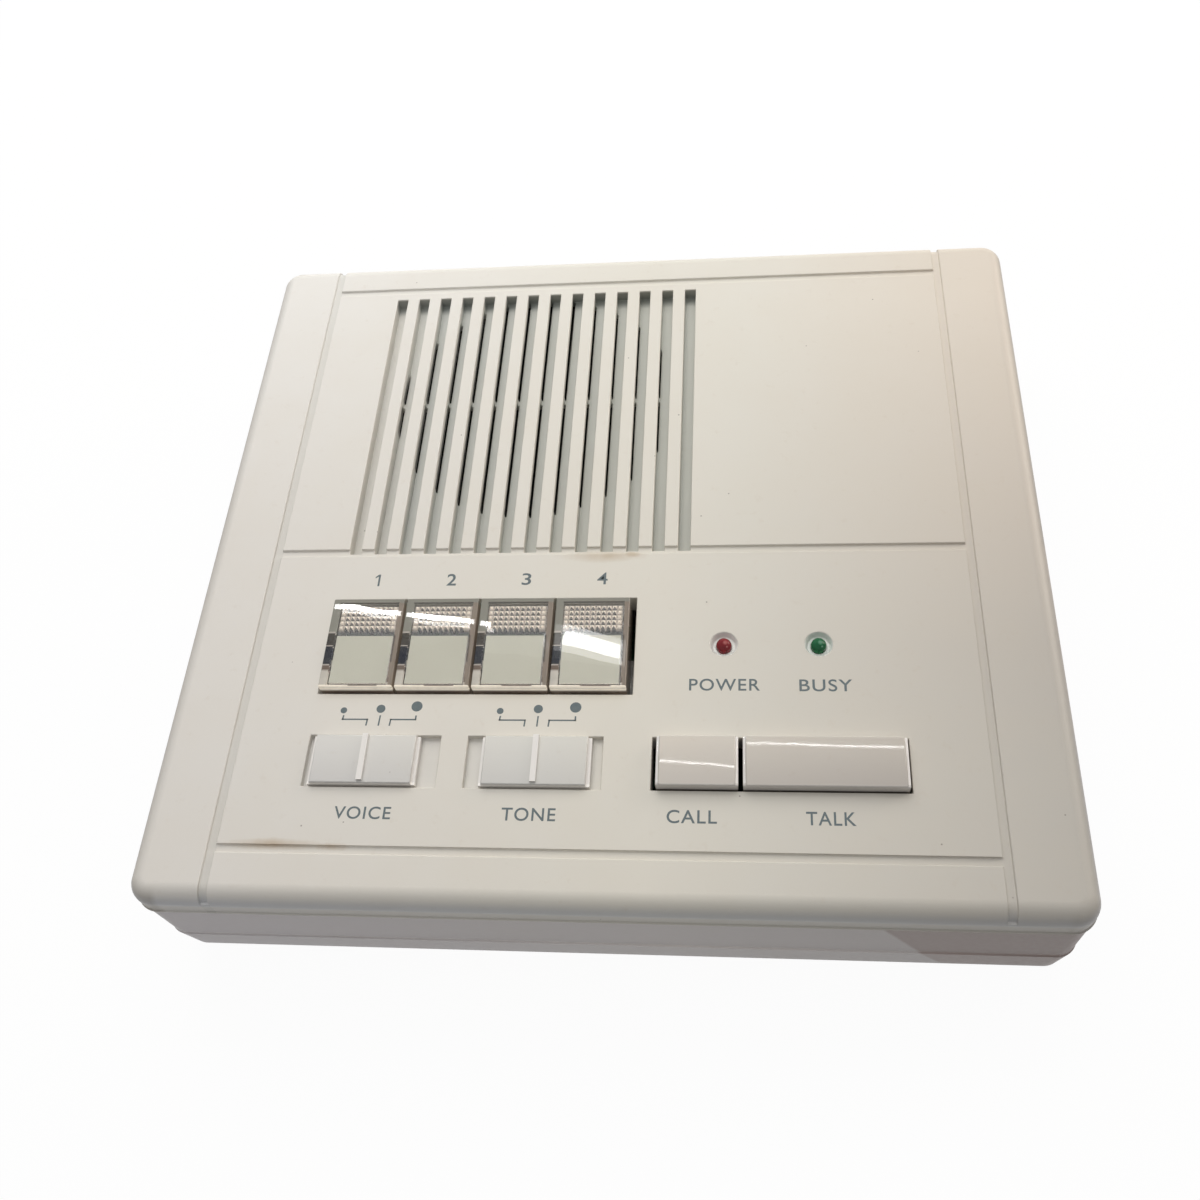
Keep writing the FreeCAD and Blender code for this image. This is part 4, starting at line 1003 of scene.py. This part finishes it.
legend = {
    "panel": 36.5 * mm,
    "height": 0.018 * mm,
    "sunk": 0.01 * mm,
    "spacing": 1.12,
    "swell": 0.009,
    "letterDepth": 0.01,            # only parts the letters' fronts from their backs
    "words": {
        "POWER": ((17.9, 32.6), (-41.1, -38.3)),
        "BUSY": ((40.7, 51.5), (-41.2, -38.4)),
        "VOICE": ((-53.9, -42.0), (-70.4, -67.7)),
        "TONE": ((-19.2, -8.2), (-70.3, -67.5)),
        "CALL": ((14.0, 23.9), (-70.3, -67.5)),
        "TALK": ((41.2, 50.8), (-70.3, -67.5)),
    },
    # each digit's middle, width and swell
    "digits": {"2": (-36.1, 2.15, 0.014), "3": (-18.95, 2.1, 0.010), "4": (-1.83, 2.35, 0.006)},
    "digitRow": (-14.75, -11.65),
    "one": [[(-53.18, -14.75), (-52.74, -14.75), (-52.74, -11.65), (-53.18, -11.65)],
            [(-53.18, -11.65), (-53.92, -12.27), (-53.92, -12.67), (-53.18, -12.20)]],
    "dotSizes": (0.72, 0.97, 1.2),
    "dotSides": 32,
    "dots": {
        "voice": ((-55.7, -46.0), (-47.6, -45.6), (-39.8, -45.0)),
        "tone": ((-21.7, -46.0), (-13.6, -45.5), (-5.7, -45.1)),
    },
    "rows": {"top": -47.3, "bar": -48.1, "end": -49.4},
    "leaders": [                    # which dot, how far to its right, and the row
        [(0, 0.15, "top"), (0, 0.05, "bar"), (1, -2.6, "bar"), (1, -2.7, "end")],
        [(1, 0.1, "top"), (1, 0.0, "end")],
        [(2, 0.1, "top"), (2, 0.1, "bar"), (1, 2.5, "bar"), (1, 2.4, "end")],
    ],
    "line": 0.32,
    "ink": (0.10, 0.13, 0.14),
    "inkWorn": (0.15, 0.175, 0.175),
    "inkPatches": ((1400.0, 3.0, 0.6), 0.35, 0.7, 0.5),
    "inkSkin": ((2600.0, 2.0, 0.5), 0.00001, 0.4),
    "inkRoughness": 0.5,
}
ink = Finish("legend_ink")
inkTone = ink.blend(ink.patches(*legend["inkPatches"]), legend["ink"], legend["inkWorn"])
legendInk = ink.surface(ink.shader(inkTone, legend["inkRoughness"], ink.bump(*legend["inkSkin"])))


def printed(name, mesh):
    piece = dressed(name, mesh, legendInk)
    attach(piece, bodyOf["top_cover"])


def word(name, text, spanX, spanY, swell):
    curve = bpy.data.curves.new(name, "FONT")
    curve.body = text
    curve.space_character = legend["spacing"]
    curve.offset = swell
    curve.extrude = legend["letterDepth"]
    holder = linked(name, curve)
    bpy.context.view_layer.update()
    solid = holder.evaluated_get(bpy.context.evaluated_depsgraph_get())
    mesh = bpy.data.meshes.new_from_object(solid)
    bpy.data.objects.remove(holder)
    for axis, (start, end) in enumerate((spanX, spanY)):
        spots = [vert.co[axis] for vert in mesh.vertices]
        low, high = min(spots), max(spots)
        for vert in mesh.vertices:
            part = (vert.co[axis] - low) / (high - low)
            vert.co[axis] = (start + part * (end - start)) * mm
    for vert in mesh.vertices:
        rise = legend["height"] if vert.co.z > 0 else -legend["sunk"]
        vert.co.z = legend["panel"] + rise
    mesh.name = name
    printed(name, mesh)


def plate(name, outlines):
    # flat printed shapes, each a ring of points in millimetres
    work = bmesh.new()
    for outline in outlines:
        slab(work, *[[(x * mm, y * mm, legend["panel"] + rise) for x, y in outline]
                     for rise in (legend["height"], -legend["sunk"])])
    bmesh.ops.recalc_face_normals(work, faces=work.faces)
    printed(name, meshFrom(work, name))


def dotOutline(centre, radius):
    turns = [2 * math.pi * i / legend["dotSides"] for i in range(legend["dotSides"])]
    return [(centre[0] + radius * math.cos(t), centre[1] + radius * math.sin(t)) for t in turns]


def stroke(start, end):
    start, end = Vector(start), Vector(end)
    along = (end - start).normalized() * legend["line"] / 2
    side = Vector((-along.y, along.x))
    start, end = start - along, end + along
    return [tuple(start - side), tuple(end - side), tuple(end + side), tuple(start + side)]


for text, (spanX, spanY) in legend["words"].items():
    word("legend_" + text.lower(), text, spanX, spanY, legend["swell"])
for text, (centre, width, swell) in legend["digits"].items():
    spanX = (centre - width / 2, centre + width / 2)
    word("digit_" + text, text, spanX, legend["digitRow"], swell)
plate("digit_1", legend["one"])
for side, dots in legend["dots"].items():
    rounds = [dotOutline(spot, radius) for spot, radius in zip(dots, legend["dotSizes"])]
    plate(f"{side}_dots", rounds)
    routes = [[(dots[dot][0] + shift, legend["rows"][row]) for dot, shift, row in leader]
              for leader in legend["leaders"]]
    plate(f"{side}_leaders", [stroke(a, b) for route in routes for a, b in zip(route, route[1:])])
print("lettering made")


# camera, light and floor

view = {
    "spot": (0.02989, -0.15718, 0.26421),
    "forward": (-0.1191, 0.5156, -0.8485),
    "up": (0.0066, 0.8550, 0.5186),
    "lens": 36.57,
    "sensor": 36.0,
    "clipStart": 0.01,
}
studio = {
    "middle": (0, 0, 0.03),
    "lights": {
        "window": {"spot": (-0.06, 0.41, 0.49), "size": (0.8, 0.6), "power": 3.2,
                   "tint": (1.0, 0.985, 0.96), "mirrored": False},
        "side_fill": {"spot": (0.93, 0.58, 0.36), "size": (0.5, 0.4), "power": 3.2,
                      "tint": (1.0, 0.90, 0.80)},
        "room": {"spot": (-0.05, -0.12, 1.1), "size": (1.0, 0.8), "power": 1.9,
                 "tint": (1.0, 0.99, 0.98), "mirrored": False},
        "left_tube": {"spot": (-0.485, 0.7235, 1.29), "size": (0.30, 0.0075), "power": 0.3,
                      "target": (-0.03, -0.03, 0.03), "long": (0.994, -0.112, 0)},
        "right_tube": {"spot": (0.09, 0.657, 1.29), "size": (0.42, 0.0075), "power": 0.3,
                       "target": (-0.03, -0.03, 0.03), "long": (0.994, -0.112, 0)},
        "ceiling_panel": {"spot": (-0.24, 0.66, 1.29), "size": (0.2, 0.03), "power": 0.012,
                          "tint": (0.93, 1.0, 0.95), "target": (-0.03, -0.03, 0.03),
                          "long": (0.994, -0.112, 0)},
        "glint_core": {"spot": (-0.186, 0.662, 1.288), "size": (0.080, 0.016), "power": 0.07,
                       "target": (-0.003, -0.033, 0.038), "long": (0.975, -0.22, 0)},
        "glint_halo": {"spot": (-0.186, 0.662, 1.288), "size": (0.11, 0.032), "power": 0.05,
                       "target": (-0.003, -0.033, 0.038), "long": (0.975, -0.22, 0)},
    },
    "ambient": (0.98, 0.975, 0.99),
    "ambientLevel": 0.265,
    "floorAlbedo": 0.35,
    "floorGlow": 0.955,
    "floorSize": 3.0,
}


def standAt(thing, spot, side, out):
    # at a spot, looking against out, with its own x towards side
    side = (side - out * side.dot(out)).normalized()
    turned = Matrix((side, out.cross(side), out)).transposed().to_4x4()
    thing.matrix_world = Matrix.Translation(spot) @ turned


def softLight(name, spot, size, power, target=studio["middle"], tint=(1, 1, 1), mirrored=True,
              long=(1, 0, 0)):
    data = bpy.data.lights.new(name, "AREA")
    data.shape = "RECTANGLE"
    data.size, data.size_y = size
    data.energy = power
    data.color = tint
    light = linked(name, data)
    standAt(light, spot, Vector(long), (Vector(spot) - Vector(target)).normalized())
    light.visible_glossy = mirrored


cameraData = bpy.data.cameras.new("camera")
cameraData.lens = view["lens"]
cameraData.sensor_width = view["sensor"]
cameraData.clip_start = view["clipStart"]
camera = linked("camera", cameraData)
back = -Vector(view["forward"]).normalized()
standAt(camera, view["spot"], Vector(view["up"]).cross(back), back)
scene.camera = camera
for name, light in studio["lights"].items():
    softLight(name, **light)

sky = Finish("studio", bpy.data.worlds)
softSky = sky.add("Background", None, {"Color": opaque(studio["ambient"]),
                                       "Strength": studio["ambientLevel"]})
whiteSky = sky.add("Background", None, {"Color": (1, 1, 1, 1)})
skyMix = sky.add("MixShader", None, {0: sky.seenDirectly(), 1: softSky, 2: whiteSky})
scene.world = sky.surface(skyMix, "OutputWorld")

ground = Finish("floor_paper")
dull = ground.add("BsdfDiffuse", None, {"Color": opaque((studio["floorAlbedo"],) * 3)})
pale = ground.add("BsdfDiffuse", None, {"Color": (1, 1, 1, 1)})
glow = ground.add("Emission", None, {"Color": (1, 1, 1, 1), "Strength": 1.0})
seen = ground.add("MixShader", None, {0: studio["floorGlow"], 1: pale, 2: glow})
mixed = ground.add("MixShader", None, {0: ground.seenDirectly(), 1: dull, 2: seen})
work = bmesh.new()
bmesh.ops.create_grid(work, x_segments=1, y_segments=1, size=studio["floorSize"])
floor = dressed("floor", meshFrom(work, "floor"), ground.surface(mixed))
scene.view_settings.view_transform = "Standard"
print("camera, light and floor made")
